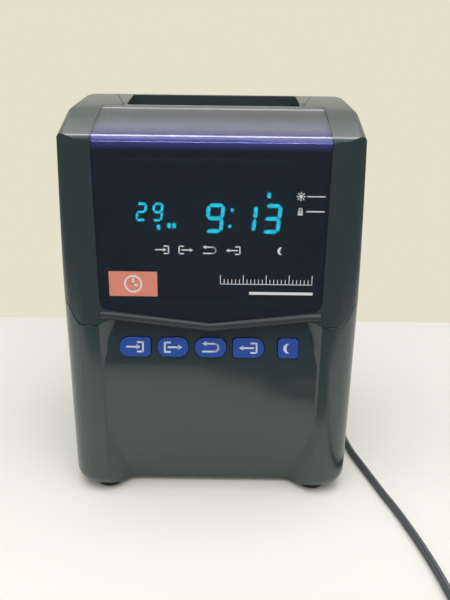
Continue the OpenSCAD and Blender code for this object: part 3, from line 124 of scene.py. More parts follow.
SUN += [("bar", -1.0 + 0.34 * x, 0.34 * y, -1.0 + 0.46 * x, 0.46 * y) for x, y in SUN_RAYS]
SUN += [NOTE_LINE]
PADLOCK = [
    ("bar", -1.22, -0.18, -0.78, -0.18), ("bar", -1.22, -0.36, -0.78, -0.36), ("bar", -1.22, 0.0, -0.78, 0.0),
    ("bar", -1.16, 0.0, -1.16, 0.36), ("bar", -0.84, 0.0, -0.84, 0.36), ("bar", -1.16, 0.36, -0.84, 0.36),
    NOTE_LINE,
]
RULE = [("bar", -1.0, 0.0, 1.0, 0.0)]
SCALE = RULE + [
    ("bar", -1.0 + k / 12, 0.0, -1.0 + k / 12, 0.10 if k % 6 else 0.2) for k in range(25)]
PLATE = [("bar", -0.5, 0.0, 0.5, 0.0)]
DIAL = [("ring", 0.0, 0.0, 0.8), ("bar", 0.0, 0.0, 0.0, 0.5), ("bar", 0.0, 0.0, 0.34, -0.14)]

# Marks on the window: strokes, scale, stroke width, and place in X and Z, in millimetres
ROW_Z = 149.5
ROW_X = (-25.2, -13.1, -0.7, 11.6, 36.3)
MARKS = {"window_sign_" + name: (SIGNS[name], 3.9, 0.62, x, ROW_Z) for name, x in zip(BUTTONS, ROW_X)}
MARKS["window_sun"] = (SUN, 4.4, 0.5, 49.4, 177.5)
MARKS["window_padlock"] = (PADLOCK, 4.4, 0.6, 49.4, 170.0)
MARKS["window_scale"] = (SCALE, 24.0, 0.36, 29.0, 131.5)
MARKS["window_rule"] = (RULE, 16.0, 1.5, 37.0, 126.6)
PLATE_PLACE = (-40.8, 131.0)

# Heights in millimetres at which the window's colour changes: the face in its smoke tint, a painted glow band
# along the brow from and to, a painted reflection of the wall on the slope, and a weaker painted reflection
# at the rim
TINT_AND_PAINTED_LIGHT_HEIGHTS = (199.0, 202.2, 205.0, 209.5, 216.0)

# Lamps: name, place, aim and size in metres, power in watts, and False where it only shows as a highlight
LAMPS = (
    ("ceiling", (0.05, -0.35, 1.30), (0.0, 0.0, 0.0), (1.5, 1.2), 14.5, True),
    ("left_window", (-1.25, -0.35, 0.80), (0.0, 0.0, 0.11), (0.9, 0.9), 2.5, True),
    ("front_fill", (0.55, -1.25, 1.05), (0.0, 0.0, 0.10), (0.9, 0.9), 5.0, True),
    ("rear_panels", (0.0, 1.00, 1.15), (0.0, 0.0, 0.2), (2.0, 1.2), 1.0, False),
    ("tube", (0.0, 0.30, 1.30), (0.0, 0.0, 0.2), (1.8, 0.5), 36.0, False),
)

# Soft light from all round, and where the mirrored wall fades into the dim room
AMBIENT_COLOR = (1.0, 0.99, 0.96)
AMBIENT_STRENGTH = 0.35
WALL_FADE = (0.30, 0.75)


class CaseFinish(bpy.types.PropertyGroup):
    """Plastic of the base, the hood and the funnel."""
    base_color: bpy.props.FloatVectorProperty(
        name="Base", description="Colour of the base moulding", subtype="COLOR",
        size=3, min=0, max=1, default=(0.018, 0.035, 0.036))
    hood_color: bpy.props.FloatVectorProperty(
        name="Hood", description="Colour of the hood moulding", subtype="COLOR",
        size=3, min=0, max=1, default=(0.034, 0.049, 0.050))
    roughness: bpy.props.FloatProperty(
        name="Roughness", description="How dull the base's plastic is", subtype="FACTOR",
        min=0, max=1, default=0.22)
    hood_roughness: bpy.props.FloatProperty(
        name="Hood roughness", description="How dull the hood's plastic is", subtype="FACTOR",
        min=0, max=1, default=0.24)
    edge: bpy.props.FloatProperty(
        name="Edge radius", description="Radius of the broken edges", unit="LENGTH", default=0.5 * MM)
    grain: bpy.props.FloatProperty(
        name="Grain", description="Strength of the fine moulded grain", subtype="FACTOR",
        min=0, max=1, default=0.06)


class WindowFinish(bpy.types.PropertyGroup):
    """Smoked window with a painted glow along its brow and a painted reflection on its slope, its printed
    marks and the lit display behind it.
    """
    tint: bpy.props.FloatVectorProperty(
        name="Tint", description="Colour of light through the smoked window", subtype="COLOR",
        size=3, min=0, max=1, default=(0.055, 0.085, 0.135))
    # Painted glow: a light blue band along the brow stands in for light shining through the sheet's edge
    brow_painted_glow: bpy.props.FloatVectorProperty(
        name="Brow tint", description="Colour of the band along the brow", subtype="COLOR",
        size=3, min=0, max=1, default=(0.21, 0.24, 0.75))
    # Painted reflection: the light slope stands in for the wall mirrored in the sheet
    slope_painted_reflection: bpy.props.FloatVectorProperty(
        name="Slope tint", description="Colour of the sheet on the slope above the brow", subtype="COLOR",
        size=3, min=0, max=1, default=(0.68, 0.69, 0.84))
    # Painted reflection, weaker: beside the card slot the sheet is painted lighter than the smoke, but darker
    # than the slope
    rim_painted_reflection: bpy.props.FloatVectorProperty(
        name="Rim tint", description="Colour of the sheet beside the card slot", subtype="COLOR",
        size=3, min=0, max=1, default=(0.22, 0.24, 0.30))
    glow: bpy.props.FloatVectorProperty(
        name="Glow", description="Colour of the lit digits", subtype="COLOR",
        size=3, min=0, max=1, default=(0.03, 0.95, 0.80))
    glow_strength: bpy.props.FloatProperty(
        name="Glow strength", description="Brightness of the lit digits", min=0, default=11.0)
    print_color: bpy.props.FloatVectorProperty(
        name="Print", description="Colour of the printed marks", subtype="COLOR",
        size=3, min=0, max=1, default=(0.80, 0.81, 0.82))
    plate_color: bpy.props.FloatVectorProperty(
        name="Plate", description="Colour of the bare plate at the lower left", subtype="COLOR",
        size=3, min=0, max=1, default=(0.78, 0.27, 0.19))
    print_depth: bpy.props.FloatProperty(
        name="Print depth", description="Thickness of the printed marks", unit="LENGTH", default=0.06 * MM)


class ButtonFinish(bpy.types.PropertyGroup):
    """Blue punch buttons and their signs."""
    color: bpy.props.FloatVectorProperty(
        name="Buttons", description="Colour of the buttons", subtype="COLOR",
        size=3, min=0, max=1, default=(0.022, 0.072, 0.36))
    sign_color: bpy.props.FloatVectorProperty(
        name="Signs", description="Colour of the signs on the buttons", subtype="COLOR",
        size=3, min=0, max=1, default=(0.62, 0.66, 0.74))
    crown: bpy.props.FloatProperty(
        name="Crown", description="Radius of the buttons' front edges", unit="LENGTH", default=1.3 * MM)
    sign_height: bpy.props.FloatProperty(
        name="Sign height", description="Height of the signs", unit="LENGTH", default=5.2 * MM)
    sign_line: bpy.props.FloatProperty(
        name="Sign line", description="Width of the signs' lines", unit="LENGTH", default=0.95 * MM)
    sign_depth: bpy.props.FloatProperty(
        name="Sign depth", description="Thickness of the signs", unit="LENGTH", default=0.08 * MM)
    sign_out: bpy.props.FloatProperty(
        name="Sign place", description="How far the signs stand before the panel", unit="LENGTH",
        default=1.79 * MM)


class CordFinish(bpy.types.PropertyGroup):
    """Flat two-core cord."""
    color: bpy.props.FloatVectorProperty(
        name="Cord", description="Colour of the cord and its plug", subtype="COLOR",
        size=3, min=0, max=1, default=(0.060, 0.067, 0.081))
    core_radius: bpy.props.FloatProperty(
        name="Core radius", description="Radius of each round half", unit="LENGTH", default=1.4 * MM)
    groove: bpy.props.FloatProperty(
        name="Groove", description="Depth of the groove between the halves", unit="LENGTH", default=0.5 * MM)


class StudioSetup(bpy.types.PropertyGroup):
    """Table, wall, lights and camera."""
    table_color: bpy.props.FloatVectorProperty(
        name="Table", description="Colour of the table", subtype="COLOR",
        size=3, min=0, max=1, default=(0.90, 0.885, 0.825))
    wall_color: bpy.props.FloatVectorProperty(
        name="Wall", description="Colour of the wall behind the table", subtype="COLOR",
        size=3, min=0, max=1, default=(0.775, 0.745, 0.60))
    room_color: bpy.props.FloatVectorProperty(
        name="Room", description="Colour of the dim room that the front mirrors", subtype="COLOR",
        size=3, min=0, max=1, default=(0.15, 0.18, 0.22))
    table_back: bpy.props.FloatProperty(
        name="Table back", description="Where the table ends behind the clock", unit="LENGTH", default=0.242)
    table_front: bpy.props.FloatProperty(
        name="Table front", description="Where the table ends before the clock", unit="LENGTH", default=-0.26)
    table_width: bpy.props.FloatProperty(
        name="Table width", description="Width of the table", unit="LENGTH", default=0.90)
    camera_place: bpy.props.FloatVectorProperty(
        name="Camera", description="Place of the camera", subtype="TRANSLATION", unit="LENGTH",
        size=3, default=(0.00756, -0.3437, 0.2120))
    camera_tilt: bpy.props.FloatProperty(
        name="Camera tilt", description="Camera's turn up from straight down", subtype="ANGLE",
        default=math.radians(72.1734))
    camera_roll: bpy.props.FloatProperty(
        name="Camera roll", description="Camera's roll about its own axis", subtype="ANGLE",
        default=math.radians(0.7154))
    lens: bpy.props.FloatProperty(
        name="Lens", description="Focal length in millimetres for a 36 mm sensor", default=33.0)


def deselect():
    """Leaves edit mode and selects nothing."""
    if bpy.context.object and bpy.context.object.mode != "OBJECT":
        bpy.ops.object.mode_set(mode="OBJECT")
    bpy.ops.object.select_all(action="DESELECT")


def pick(obj):
    """Makes obj the only selected and active object."""
    deselect()
    obj.select_set(True)
    bpy.context.view_layer.objects.active = obj


def edit_all(obj, step):
    """Runs step in edit mode with everything selected."""
    pick(obj)
    bpy.ops.object.mode_set(mode="EDIT")
    bpy.ops.mesh.select_all(action="SELECT")
    step()
    bpy.ops.object.mode_set(mode="OBJECT")


def apply_modifiers(obj):
    """Applies every modifier in order."""
    pick(obj)
    for name in [m.name for m in obj.modifiers]:
        bpy.ops.object.modifier_apply(modifier=name)


def settle(obj):
    """Puts the object's place into its mesh."""
    pick(obj)
    bpy.ops.object.transform_apply(location=True, rotation=True, scale=True)


def smooth(obj, angle=28):
    """Smooth shading up to an angle in degrees."""
    pick(obj)
    bpy.ops.object.shade_smooth_by_angle(angle=math.radians(angle))


def copy_of(node, name, pierced=False):
    """A new piece with a merged copy of a CAD node's mesh; faces with holes in them stay cut up."""
    piece = bpy.data.objects.new(name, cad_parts[node].data.copy())
    bpy.context.scene.collection.objects.link(piece)
    piece.data.materials.clear()

    def merge():
        bpy.ops.mesh.remove_doubles(threshold=SAME_POINT * MM)
        if not pierced:
            bpy.ops.mesh.dissolve_limited(angle_limit=math.radians(SAME_FACE))

    edit_all(piece, merge)
    return piece


def break_edges(obj, width, segments=2, angle=24):
    """Rounds the edges that turn by more than an angle, and shades the result."""
    bevel = obj.modifiers.new("edges", "BEVEL")
    bevel.width = width
    bevel.segments = segments
    bevel.limit_method = "ANGLE"
    bevel.angle_limit = math.radians(angle)
    bevel.use_clamp_overlap = True
    bevel.miter_outer = "MITER_ARC"
    apply_modifiers(obj)
    smooth(obj, 34)
    obj.modifiers.new("shading", "WEIGHTED_NORMAL").keep_sharp = True
    apply_modifiers(obj)


def at_front_corner(point):
    """True where the seam turns up around the pillars."""
    return (point.y < CORNER_BACK * MM and CORNER_LOW < point.z / MM < CORNER_HIGH
            and abs(point.x) > CORNER_INSIDE * MM)


def round_some(obj, width, chosen, angle=24):
    """Merges the flat faces and rounds the sharp edges whose points are all chosen."""
    def choose(kind):
        """Keeps what is selected only where all its points are chosen."""
        deselect()
        for item in getattr(obj.data, kind):
            item.select = item.select and all(chosen(obj.data.vertices[i].co) for i in item.vertices)
        pick(obj)
        bpy.ops.object.mode_set(mode="EDIT")

    pick(obj)
    bpy.ops.object.mode_set(mode="EDIT")
    bpy.ops.mesh.select_mode(type="FACE")
    bpy.ops.mesh.select_all(action="SELECT")
    choose("polygons")
    bpy.ops.mesh.dissolve_limited(angle_limit=math.radians(SAME_FACE))
    bpy.ops.mesh.select_mode(type="EDGE")
    bpy.ops.mesh.select_all(action="DESELECT")
    bpy.ops.mesh.edges_select_sharp(sharpness=math.radians(angle))
    choose("edges")
    bpy.ops.mesh.bevel(offset=width, segments=2, affect="EDGES", miter_outer="ARC")
    bpy.ops.object.mode_set(mode="OBJECT")


def dress(obj, material):
    """Gives a new piece its one material."""
    obj.data.materials.clear()
    obj.data.materials.append(material)


def place_piece(obj, body, slot, *nodes):
    """Ties a new piece to its body and hides the CAD nodes that it stands for; slot is not used."""
    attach(obj, body)
    if nodes:
        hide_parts(*nodes)


def paint_nodes(material, *nodes):
    """Gives CAD nodes that stay as they are a better material."""
    for node in nodes:
        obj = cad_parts[node]
        if not obj.material_slots:
            obj.data.materials.append(material)
        for spot in obj.material_slots:
            spot.material = material


def plain_material(name, color, roughness, metallic=0.0, gloss=0.5):
    """A principled material of one colour."""
    material = bpy.data.materials.new(name)
    material.use_nodes = True
    shader = material.node_tree.nodes["Principled BSDF"]
    shader.inputs["Base Color"].default_value = (*color, 1.0)
    shader.inputs["Roughness"].default_value = roughness
    shader.inputs["Metallic"].default_value = metallic
    shader.inputs["Specular IOR Level"].default_value = gloss
    return material


def add_grain(material, scale, strength, distance=0.05 * MM):
    """Fine bumps on Object coordinates."""
    tree = material.node_tree
    place = tree.nodes.new("ShaderNodeTexCoord")
    noise = tree.nodes.new("ShaderNodeTexNoise")
    bump = tree.nodes.new("ShaderNodeBump")
    noise.inputs["Scale"].default_value = scale
    noise.inputs["Detail"].default_value = 2.0
    bump.inputs["Strength"].default_value = strength
    bump.inputs["Distance"].default_value = distance
    tree.links.new(place.outputs["Object"], noise.inputs["Vector"])
    tree.links.new(noise.outputs["Fac"], bump.inputs["Height"])
    tree.links.new(bump.outputs["Normal"], tree.nodes["Principled BSDF"].inputs["Normal"])
    return material


def color_by_place(material, axis, stops):
    """Base colour that changes along an axis between stops of place and colour."""
    tree = material.node_tree
    place = tree.nodes.new("ShaderNodeTexCoord")
    split = tree.nodes.new("ShaderNodeSeparateXYZ")
    span = tree.nodes.new("ShaderNodeMapRange")
    ramp = tree.nodes.new("ShaderNodeValToRGB")
    low, high = stops[0][0], stops[-1][0]
    span.inputs["From Min"].default_value = low
    span.inputs["From Max"].default_value = high
    points = ramp.color_ramp.elements
    for at, color in stops[1:-1]:
        points.new((at - low) / (high - low)).color = (*color, 1.0)
    points[0].color = (*stops[0][1], 1.0)
    points[len(points) - 1].color = (*stops[-1][1], 1.0)
    tree.links.new(place.outputs["Object"], split.inputs["Vector"])
    tree.links.new(split.outputs[axis], span.inputs["Value"])
    tree.links.new(span.outputs["Result"], ramp.inputs["Fac"])
    tree.links.new(ramp.outputs["Color"], tree.nodes["Principled BSDF"].inputs["Base Color"])
    return material


def add_bar(x0, y0, x1, y1, width):
    """A flat bar between two points in the drawing plane."""
    length = math.hypot(x1 - x0, y1 - y0) + width
    bpy.ops.mesh.primitive_plane_add(
        size=1, location=((x0 + x1) / 2, (y0 + y1) / 2, 0), rotation=(0, 0, math.atan2(y1 - y0, x1 - x0)))
    bar = bpy.context.object
    bar.scale = (length, width, 1)
    settle(bar)
    return bar


def add_disc(x, y, radius, vertices=32, turn=0.0):
    """A flat disc, or a triangle with three corners, in the drawing plane."""
    bpy.ops.mesh.primitive_circle_add(
        vertices=vertices, radius=radius, fill_type="NGON", location=(x, y, 0), rotation=(0, 0, turn))
    settle(bpy.context.object)
    return bpy.context.object


def add_ring(x, y, radius, width):
    """A flat ring in the drawing plane."""
    ring = add_disc(x, y, radius + width / 2)

    def open_middle():
        bpy.ops.mesh.inset(thickness=width)
        bpy.ops.mesh.delete(type="FACE")

    edit_all(ring, open_middle)
    return ring


def add_crescent(x, y, radius):
    """A flat moon: a disc whose right side is folded in."""
    moon = add_disc(x, y, radius, 40)
    fold_share, hollow_share = 0.22, 0.72
    fold = x + fold_share * radius
    for vertex in moon.data.vertices:
        if vertex.co.x > fold:
            vertex.co.x = fold - hollow_share * (vertex.co.x - fold)
    return moon


def add_arc(x, y, radius, width):
    """Half a ring open to the left, as short bars."""
    points = [(x + radius * math.cos(a), y + radius * math.sin(a))
              for a in (math.radians(d) for d in range(-90, 91, 30))]
    return [add_bar(*p, *q, width) for p, q in zip(points, points[1:])]


def draw_sign(name, strokes, scale, width, depth, place):
    """Joins flat strokes into one thin sign and lays it at a place matrix."""
    parts = []
    for kind, *n in strokes:
        deselect()
        if kind == "bar":
            parts.append(add_bar(n[0] * scale, n[1] * scale, n[2] * scale, n[3] * scale, width))
        elif kind == "disc":
            parts.append(add_disc(n[0] * scale, n[1] * scale, n[2] * scale))
        elif kind == "ring":
            parts.append(add_ring(n[0] * scale, n[1] * scale, n[2] * scale, width))
        elif kind == "triangle":
            parts.append(add_disc(n[0] * scale, n[1] * scale, n[2] * scale, 3, math.radians(n[3] - 90)))
        elif kind == "crescent":
            parts.append(add_crescent(n[0] * scale, n[1] * scale, n[2] * scale))
        else:
            parts.extend(add_arc(n[0] * scale, n[1] * scale, n[2] * scale, width))
    deselect()
    for part in parts:
        part.select_set(True)
    bpy.context.view_layer.objects.active = parts[0]
    if len(parts) > 1:
        bpy.ops.object.join()
    sign = bpy.context.object
    sign.name = name
    thick = sign.modifiers.new("depth", "SOLIDIFY")
    thick.thickness = depth
    thick.offset = 1.0
    apply_modifiers(sign)
    sign.matrix_world = place
    settle(sign)
    return sign


def on_window(x, z):
    """Place matrix on the window's front face, for a drawing in X and Z."""
    return Matrix.Translation((x * MM, FRONT * MM, z * MM)) @ Matrix.Rotation(math.radians(90), 4, "X")


def on_panel(x, out):
    """Place matrix on the leaning button panel."""
    return (Matrix.Translation([v * MM for v in PANEL_ORIGIN])
            @ Matrix.Rotation(math.radians(90 - PANEL_LEAN), 4, "X")
            @ Matrix.Translation((x, 0, out)))


def blend_points(a, b, c, d, t):
    """A point between b and c on a smooth curve through four points."""
    return 0.5 * (2 * b + (c - a) * t + (2 * a - 5 * b + 4 * c - d) * t * t
                  + (3 * b - a - 3 * c + d) * t * t * t)


def coil_point(turn):
    """The coil's centreline after a number of turns."""
    half = COIL_TURNS / 2
    radius = COIL_RADIUS - COIL_PITCH * (half - abs(turn - half))
    climb = min(1.0, max(0.0, (turn - half + COIL_CLIMB / 2) / COIL_CLIMB))
    angle = -2 * math.pi * turn
    return Vector((COIL_CENTRE[0] + radius * math.cos(angle), COIL_CENTRE[1] + radius * math.sin(angle),
                   COIL_REST + COIL_LAYER * climb * climb * (3 - 2 * climb)))


def cord_line():
    """All centreline points of the cord, in metres, from the strain relief to the plug."""
    route = [Vector(p) for p in CORD_ROUTE]
    last = len(route) - 1
    points = []
    for i in range(last):
        four = (route[max(0, i - 1)], route[i], route[i + 1], route[min(last, i + 2)])
        points += [blend_points(*four, k / ROUTE_STEPS) for k in range(ROUTE_STEPS)]
    points.append(route[last])
    count = round(COIL_TURNS * TURN_STEPS)
    loops = [coil_point(COIL_TURNS * i / count) for i in range(count + 1)]
    points += loops
    points += [loops[-1] + Vector((-COIL_LEAD * k / 3, 0, 0)) for k in (1, 2, 3)]
    return [p * MM for p in points]


class CLOCK_OT_stage(bpy.types.Operator):
    """Set the camera, the table and the soft lights"""
    bl_idname = "clock.set_stage"
    bl_label = "Set the stage"

    def execute(self, context):
        studio = context.scene.clock_studio
        deselect()
        bpy.ops.object.camera_add()
        camera = context.object
        camera.name = "camera"
        camera.data.lens = studio.lens
        camera.data.sensor_width = 36
        camera.data.clip_start = 0.01
        camera.matrix_world = (Matrix.Translation(studio.camera_place)
                               @ Matrix.Rotation(studio.camera_tilt, 4, "X")
                               @ Matrix.Rotation(studio.camera_roll, 4, "Z"))
        context.scene.camera = camera
        context.scene.view_settings.view_transform = "Standard"
        self.lay_table(studio)
        self.hang_lights()
        self.fill_world(context.scene, studio)
        return {"FINISHED"}

    def lay_table(self, studio):
        """A plain painted table top."""
        deselect()
        depth = studio.table_back - studio.table_front
        middle = (studio.table_back + studio.table_front) / 2
        bpy.ops.mesh.primitive_plane_add(size=1.0, location=(0, middle, 0))
        table = bpy.context.object
        table.name = "table"
        table.scale = (studio.table_width, depth, 1.0)
        settle(table)
        paint = plain_material("table_paint", studio.table_color, 0.7, gloss=0.1)
        dress(table, add_grain(paint, 60, 0.02, 0.5 * MM))

    def hang_lights(self):
        """Area lamps turned towards their aims."""
        for name, place, aim, size, power, soft in LAMPS:
            deselect()
            bpy.ops.object.light_add(type="AREA", location=place)
            light = bpy.context.object
            light.name = name
            light.visible_diffuse = soft
            light.data.shape = "RECTANGLE"
            light.data.size, light.data.size_y = size
            light.data.energy = power
            turn = (Vector(aim) - Vector(place)).to_track_quat("-Z", "Y")
            light.rotation_euler = turn.to_euler()

    def fill_world(self, scene, studio):
        """The wall for the camera, a wall and a dim room for mirrored rays, soft light for the rest."""
        world = bpy.data.worlds.new("room")
        scene.world = world
        world.use_nodes = True
        tree = world.node_tree
        tree.nodes.clear()
        path = tree.nodes.new("ShaderNodeLightPath")
        wall = tree.nodes.new("ShaderNodeBackground")
        wall.inputs["Color"].default_value = (*studio.wall_color, 1.0)
        light = tree.nodes.new("ShaderNodeBackground")
        light.inputs["Color"].default_value = (*AMBIENT_COLOR, 1.0)
        light.inputs["Strength"].default_value = AMBIENT_STRENGTH
        place = tree.nodes.new("ShaderNodeTexCoord")
        split = tree.nodes.new("ShaderNodeSeparateXYZ")
        span = tree.nodes.new("ShaderNodeMapRange")
        span.inputs["From Min"].default_value = WALL_FADE[0]
        span.inputs["From Max"].default_value = WALL_FADE[1]
        fade = tree.nodes.new("ShaderNodeMix")
        fade.data_type = "RGBA"
        fade.inputs[6].default_value = (*studio.room_color, 1.0)
        fade.inputs[7].default_value = (*studio.wall_color, 1.0)
        mirrored = tree.nodes.new("ShaderNodeBackground")
        tree.links.new(place.outputs["Generated"], split.inputs["Vector"])
        tree.links.new(split.outputs["Y"], span.inputs["Value"])
        tree.links.new(span.outputs["Result"], fade.inputs[0])
        tree.links.new(fade.outputs[2], mirrored.inputs["Color"])
        glossy = tree.nodes.new("ShaderNodeMixShader")
        tree.links.new(path.outputs["Is Glossy Ray"], glossy.inputs[0])
        tree.links.new(light.outputs[0], glossy.inputs[1])
        tree.links.new(mirrored.outputs[0], glossy.inputs[2])
        direct = tree.nodes.new("ShaderNodeMath")
        direct.operation = "MAXIMUM"
        tree.links.new(path.outputs["Is Camera Ray"], direct.inputs[0])
        tree.links.new(path.outputs["Is Transmission Ray"], direct.inputs[1])
        seen = tree.nodes.new("ShaderNodeMixShader")
        tree.links.new(direct.outputs[0], seen.inputs[0])
        tree.links.new(glossy.outputs[0], seen.inputs[1])
        tree.links.new(wall.outputs[0], seen.inputs[2])
        out = tree.nodes.new("ShaderNodeOutputWorld")
        tree.links.new(seen.outputs[0], out.inputs["Surface"])


class CLOCK_OT_cord(bpy.types.Operator):
    """Lay the flat two-core cord along its route and into its coil"""
    bl_idname = "clock.lay_cord"
    bl_label = "Lay the cord"

    def execute(self, context):
        finish = context.scene.clock_cord
        points = cord_line()
        profile = self.section(finish)
        deselect()
        bpy.ops.curve.primitive_nurbs_path_add()
        cord = context.object
        cord.name = "flat_cord"
        line = cord.data
        line.splines.clear()
        spline = line.splines.new("POLY")
        spline.points.add(len(points) - 1)
        for knot, place in zip(spline.points, points):
            knot.co = (*place, 1.0)
        line.dimensions = "3D"
        line.twist_mode = "Z_UP"
        line.bevel_mode = "OBJECT"
        line.bevel_object = profile
        line.use_fill_caps = True
        cord.matrix_world = Matrix.Identity(4)
        pick(cord)
        bpy.ops.object.convert(target="MESH")
        cord = context.object
        bpy.data.objects.remove(profile, do_unlink=True)
        smooth(cord, 50)
        dress(cord, add_grain(plain_material("cord_sheath", finish.color, 0.42), 1800, 0.04))
        place_piece(cord, "base", "cord_plastic", "power_cord", "cord_coil")
        return {"FINISHED"}

    def section(self, finish):
        """Outline of the two joined cores, wide side upright."""
        radius = finish.core_radius
        reach = CORD_WIDTH * MM / 2 - radius
        top = [(radius * math.cos(a), reach + radius * math.sin(a))
               for a in (math.radians(d) for d in range(-20, 201, 20))]
        waist = radius - finish.groove
        outline = top + [(-waist, 0.0)] + [(-x, -y) for x, y in top] + [(waist, 0.0)]
        bpy.ops.curve.primitive_bezier_circle_add()
        profile = bpy.context.object
        profile.name = "cord_section"
        profile.data.dimensions = "2D"
        profile.data.fill_mode = "NONE"
        profile.data.splines.clear()
        spline = profile.data.splines.new("POLY")
        spline.points.add(len(outline) - 1)
        for knot, (x, y) in zip(spline.points, outline):
            knot.co = (x, y, 0.0, 1.0)
        spline.use_cyclic_u = True
        return profile


class CLOCK_OT_case(bpy.types.Operator):
    """Finish the base, the hood and the card funnel in grained plastic"""
    bl_idname = "clock.finish_case"
    bl_label = "Finish the case"

    def execute(self, context):
        finish = context.scene.clock_case
        base_plastic = plain_material("base_plastic", finish.base_color, finish.roughness, gloss=0.85)
        hood_plastic = plain_material("hood_plastic", finish.hood_color, finish.hood_roughness, gloss=0.3)
        for plastic in (base_plastic, hood_plastic):
            add_grain(plastic, FINE_GRAIN, finish.grain)
        for node, name, body, plastic, has_seam in (
            ("base_shell", "base_case", "base", base_plastic, True),
            ("hood_shell", "hood_case", "hood", hood_plastic, True),
            ("card_funnel", "slot_funnel", "hood", hood_plastic, False),
        ):
            piece = copy_of(node, name, pierced=has_seam)
            if has_seam:
                round_some(piece, finish.edge, at_front_corner)
            break_edges(piece, finish.edge)
            dress(piece, plastic)
            place_piece(piece, body, "case_plastic", node)
        return {"FINISHED"}


class CLOCK_OT_window(bpy.types.Operator):
    """Finish the smoked window that wraps over the brow, its colour painting a glow along the brow and a
    reflection on the slope
    """
    bl_idname = "clock.finish_window"
    bl_label = "Finish the window"

    def execute(self, context):
        finish = context.scene.clock_window
        window = copy_of("display_window", "smoked_window")
        break_edges(window, 0.35 * MM)
        smoke_and_painted_light = plain_material("smoked_sheet", finish.tint, 0.04)
        # The face keeps the smoke's tint; above it the colour paints a glow band along the brow and the
        # wall's reflection on the slope and rim
        tints_and_painted_light = (finish.tint, finish.brow_painted_glow, finish.brow_painted_glow, finish.slope_painted_reflection, finish.rim_painted_reflection)
        color_by_place(smoke_and_painted_light, "Z", [(height * MM, tint) for height, tint in zip(TINT_AND_PAINTED_LIGHT_HEIGHTS, tints_and_painted_light)])
        shader = smoke_and_painted_light.node_tree.nodes["Principled BSDF"]
        shader.inputs["Transmission Weight"].default_value = 0.85
        shader.inputs["IOR"].default_value = 1.49
        dress(window, smoke_and_painted_light)
        place_piece(window, "hood", "window_plastic", "display_window")
        return {"FINISHED"}


class CLOCK_OT_marks(bpy.types.Operator):
    """Print the row of signs, the plate and the fine scale on the window"""
    bl_idname = "clock.print_window"
    bl_label = "Print the window"

    def execute(self, context):
        finish = context.scene.clock_window
        ink = plain_material("window_ink", finish.print_color, 0.45)
        for name, (strokes, scale, width, x, z) in MARKS.items():
            mark = draw_sign(name, strokes, scale * MM, width * MM, finish.print_depth, on_window(x, z))
            dress(mark, ink)
            place_piece(mark, "hood", "window_plastic")
        self.lay_plate(finish, ink)
        return {"FINISHED"}

    def lay_plate(self, finish, ink):
        """A bare coloured plate with a plain dial."""
        paint = plain_material("plate_paint", finish.plate_color, 0.4)
        place = on_window(*PLATE_PLACE)
        plate = draw_sign("window_plate", PLATE, 11.9 * MM, 13.5 * MM, finish.print_depth, place)
        dress(plate, paint)
        place_piece(plate, "hood", "window_plastic")
        above = Matrix.Translation((0, -finish.print_depth, 0)) @ place
        dial = draw_sign("window_dial", DIAL, 5.4 * MM, 0.9 * MM, finish.print_depth, above)
        dress(dial, ink)
        place_piece(dial, "hood", "window_plastic")


class CLOCK_OT_display(bpy.types.Operator):
    """Light the digits and darken what stands behind them"""
    bl_idname = "clock.light_display"
    bl_label = "Light the display"

    def execute(self, context):
        finish = context.scene.clock_window
        glow = plain_material("digit_glow", (0.02, 0.10, 0.10), 0.5)
        shader = glow.node_tree.nodes["Principled BSDF"]
        shader.inputs["Emission Color"].default_value = (*finish.glow, 1.0)
        shader.inputs["Emission Strength"].default_value = finish.glow_strength
        glass = plain_material("tube_glass", (0.85, 0.90, 0.90), 0.02)
        glass.node_tree.nodes["Principled BSDF"].inputs["Transmission Weight"].default_value = 1.0
        paint_nodes(glow, "display_digits")
        paint_nodes(glass, "display_tube")
        paint_nodes(plain_material("tube_backing", (0.10, 0.12, 0.12), 0.6), "display_plate")
        paint_nodes(plain_material("display_lacquer", (0.010, 0.030, 0.020), 0.4), "display_board")
        paint_nodes(plain_material("display_screw_steel", (0.55, 0.55, 0.54), 0.35, 1.0), "display_screws")
        return {"FINISHED"}


class CLOCK_OT_buttons(bpy.types.Operator):
    """Crown the punch buttons and put a sign on each"""
    bl_idname = "clock.finish_buttons"
    bl_label = "Finish the buttons"

    def execute(self, context):
        finish = context.scene.clock_buttons
        blue = add_grain(plain_material("button_blue", finish.color, 0.32), 1400, 0.03)
        white = plain_material("sign_white", finish.sign_color, 0.45)
        for name in BUTTONS:
            node = name + "_button"
            low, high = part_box(node)
            cap = copy_of(node, name + "_cap")
            break_edges(cap, finish.crown, segments=4, angle=40)
            dress(cap, blue)
            place_piece(cap, name, "button_plastic", node)
            sign = draw_sign(name + "_sign", SIGNS[name], finish.sign_height, finish.sign_line,
                             finish.sign_depth, on_panel((low[0] + high[0]) / 2, finish.sign_out))
            dress(sign, white)
            place_piece(sign, name, "button_plastic")
        return {"FINISHED"}


class CLOCK_OT_feet(bpy.types.Operator):
    """Soften the rubber feet and finish the bottom plate"""
    bl_idname = "clock.finish_feet"
    bl_label = "Finish the underside"

    def execute(self, context):
        feet = copy_of("rubber_feet", "soft_feet")
        break_edges(feet, 0.9 * MM, segments=3, angle=40)
        dress(feet, add_grain(plain_material("foot_rubber", (0.018, 0.018, 0.019), 0.75), 1200, 0.08))
        place_piece(feet, "base", "foot_rubber", "rubber_feet")
        plate = copy_of("bottom_plate", "bottom_cover")
        break_edges(plate, 0.4 * MM)
        dress(plate, add_grain(plain_material("plate_black", (0.030, 0.033, 0.033), 0.5), FINE_GRAIN, 0.06))
        place_piece(plate, "base", "dark_plastic", "bottom_plate")
        return {"FINISHED"}


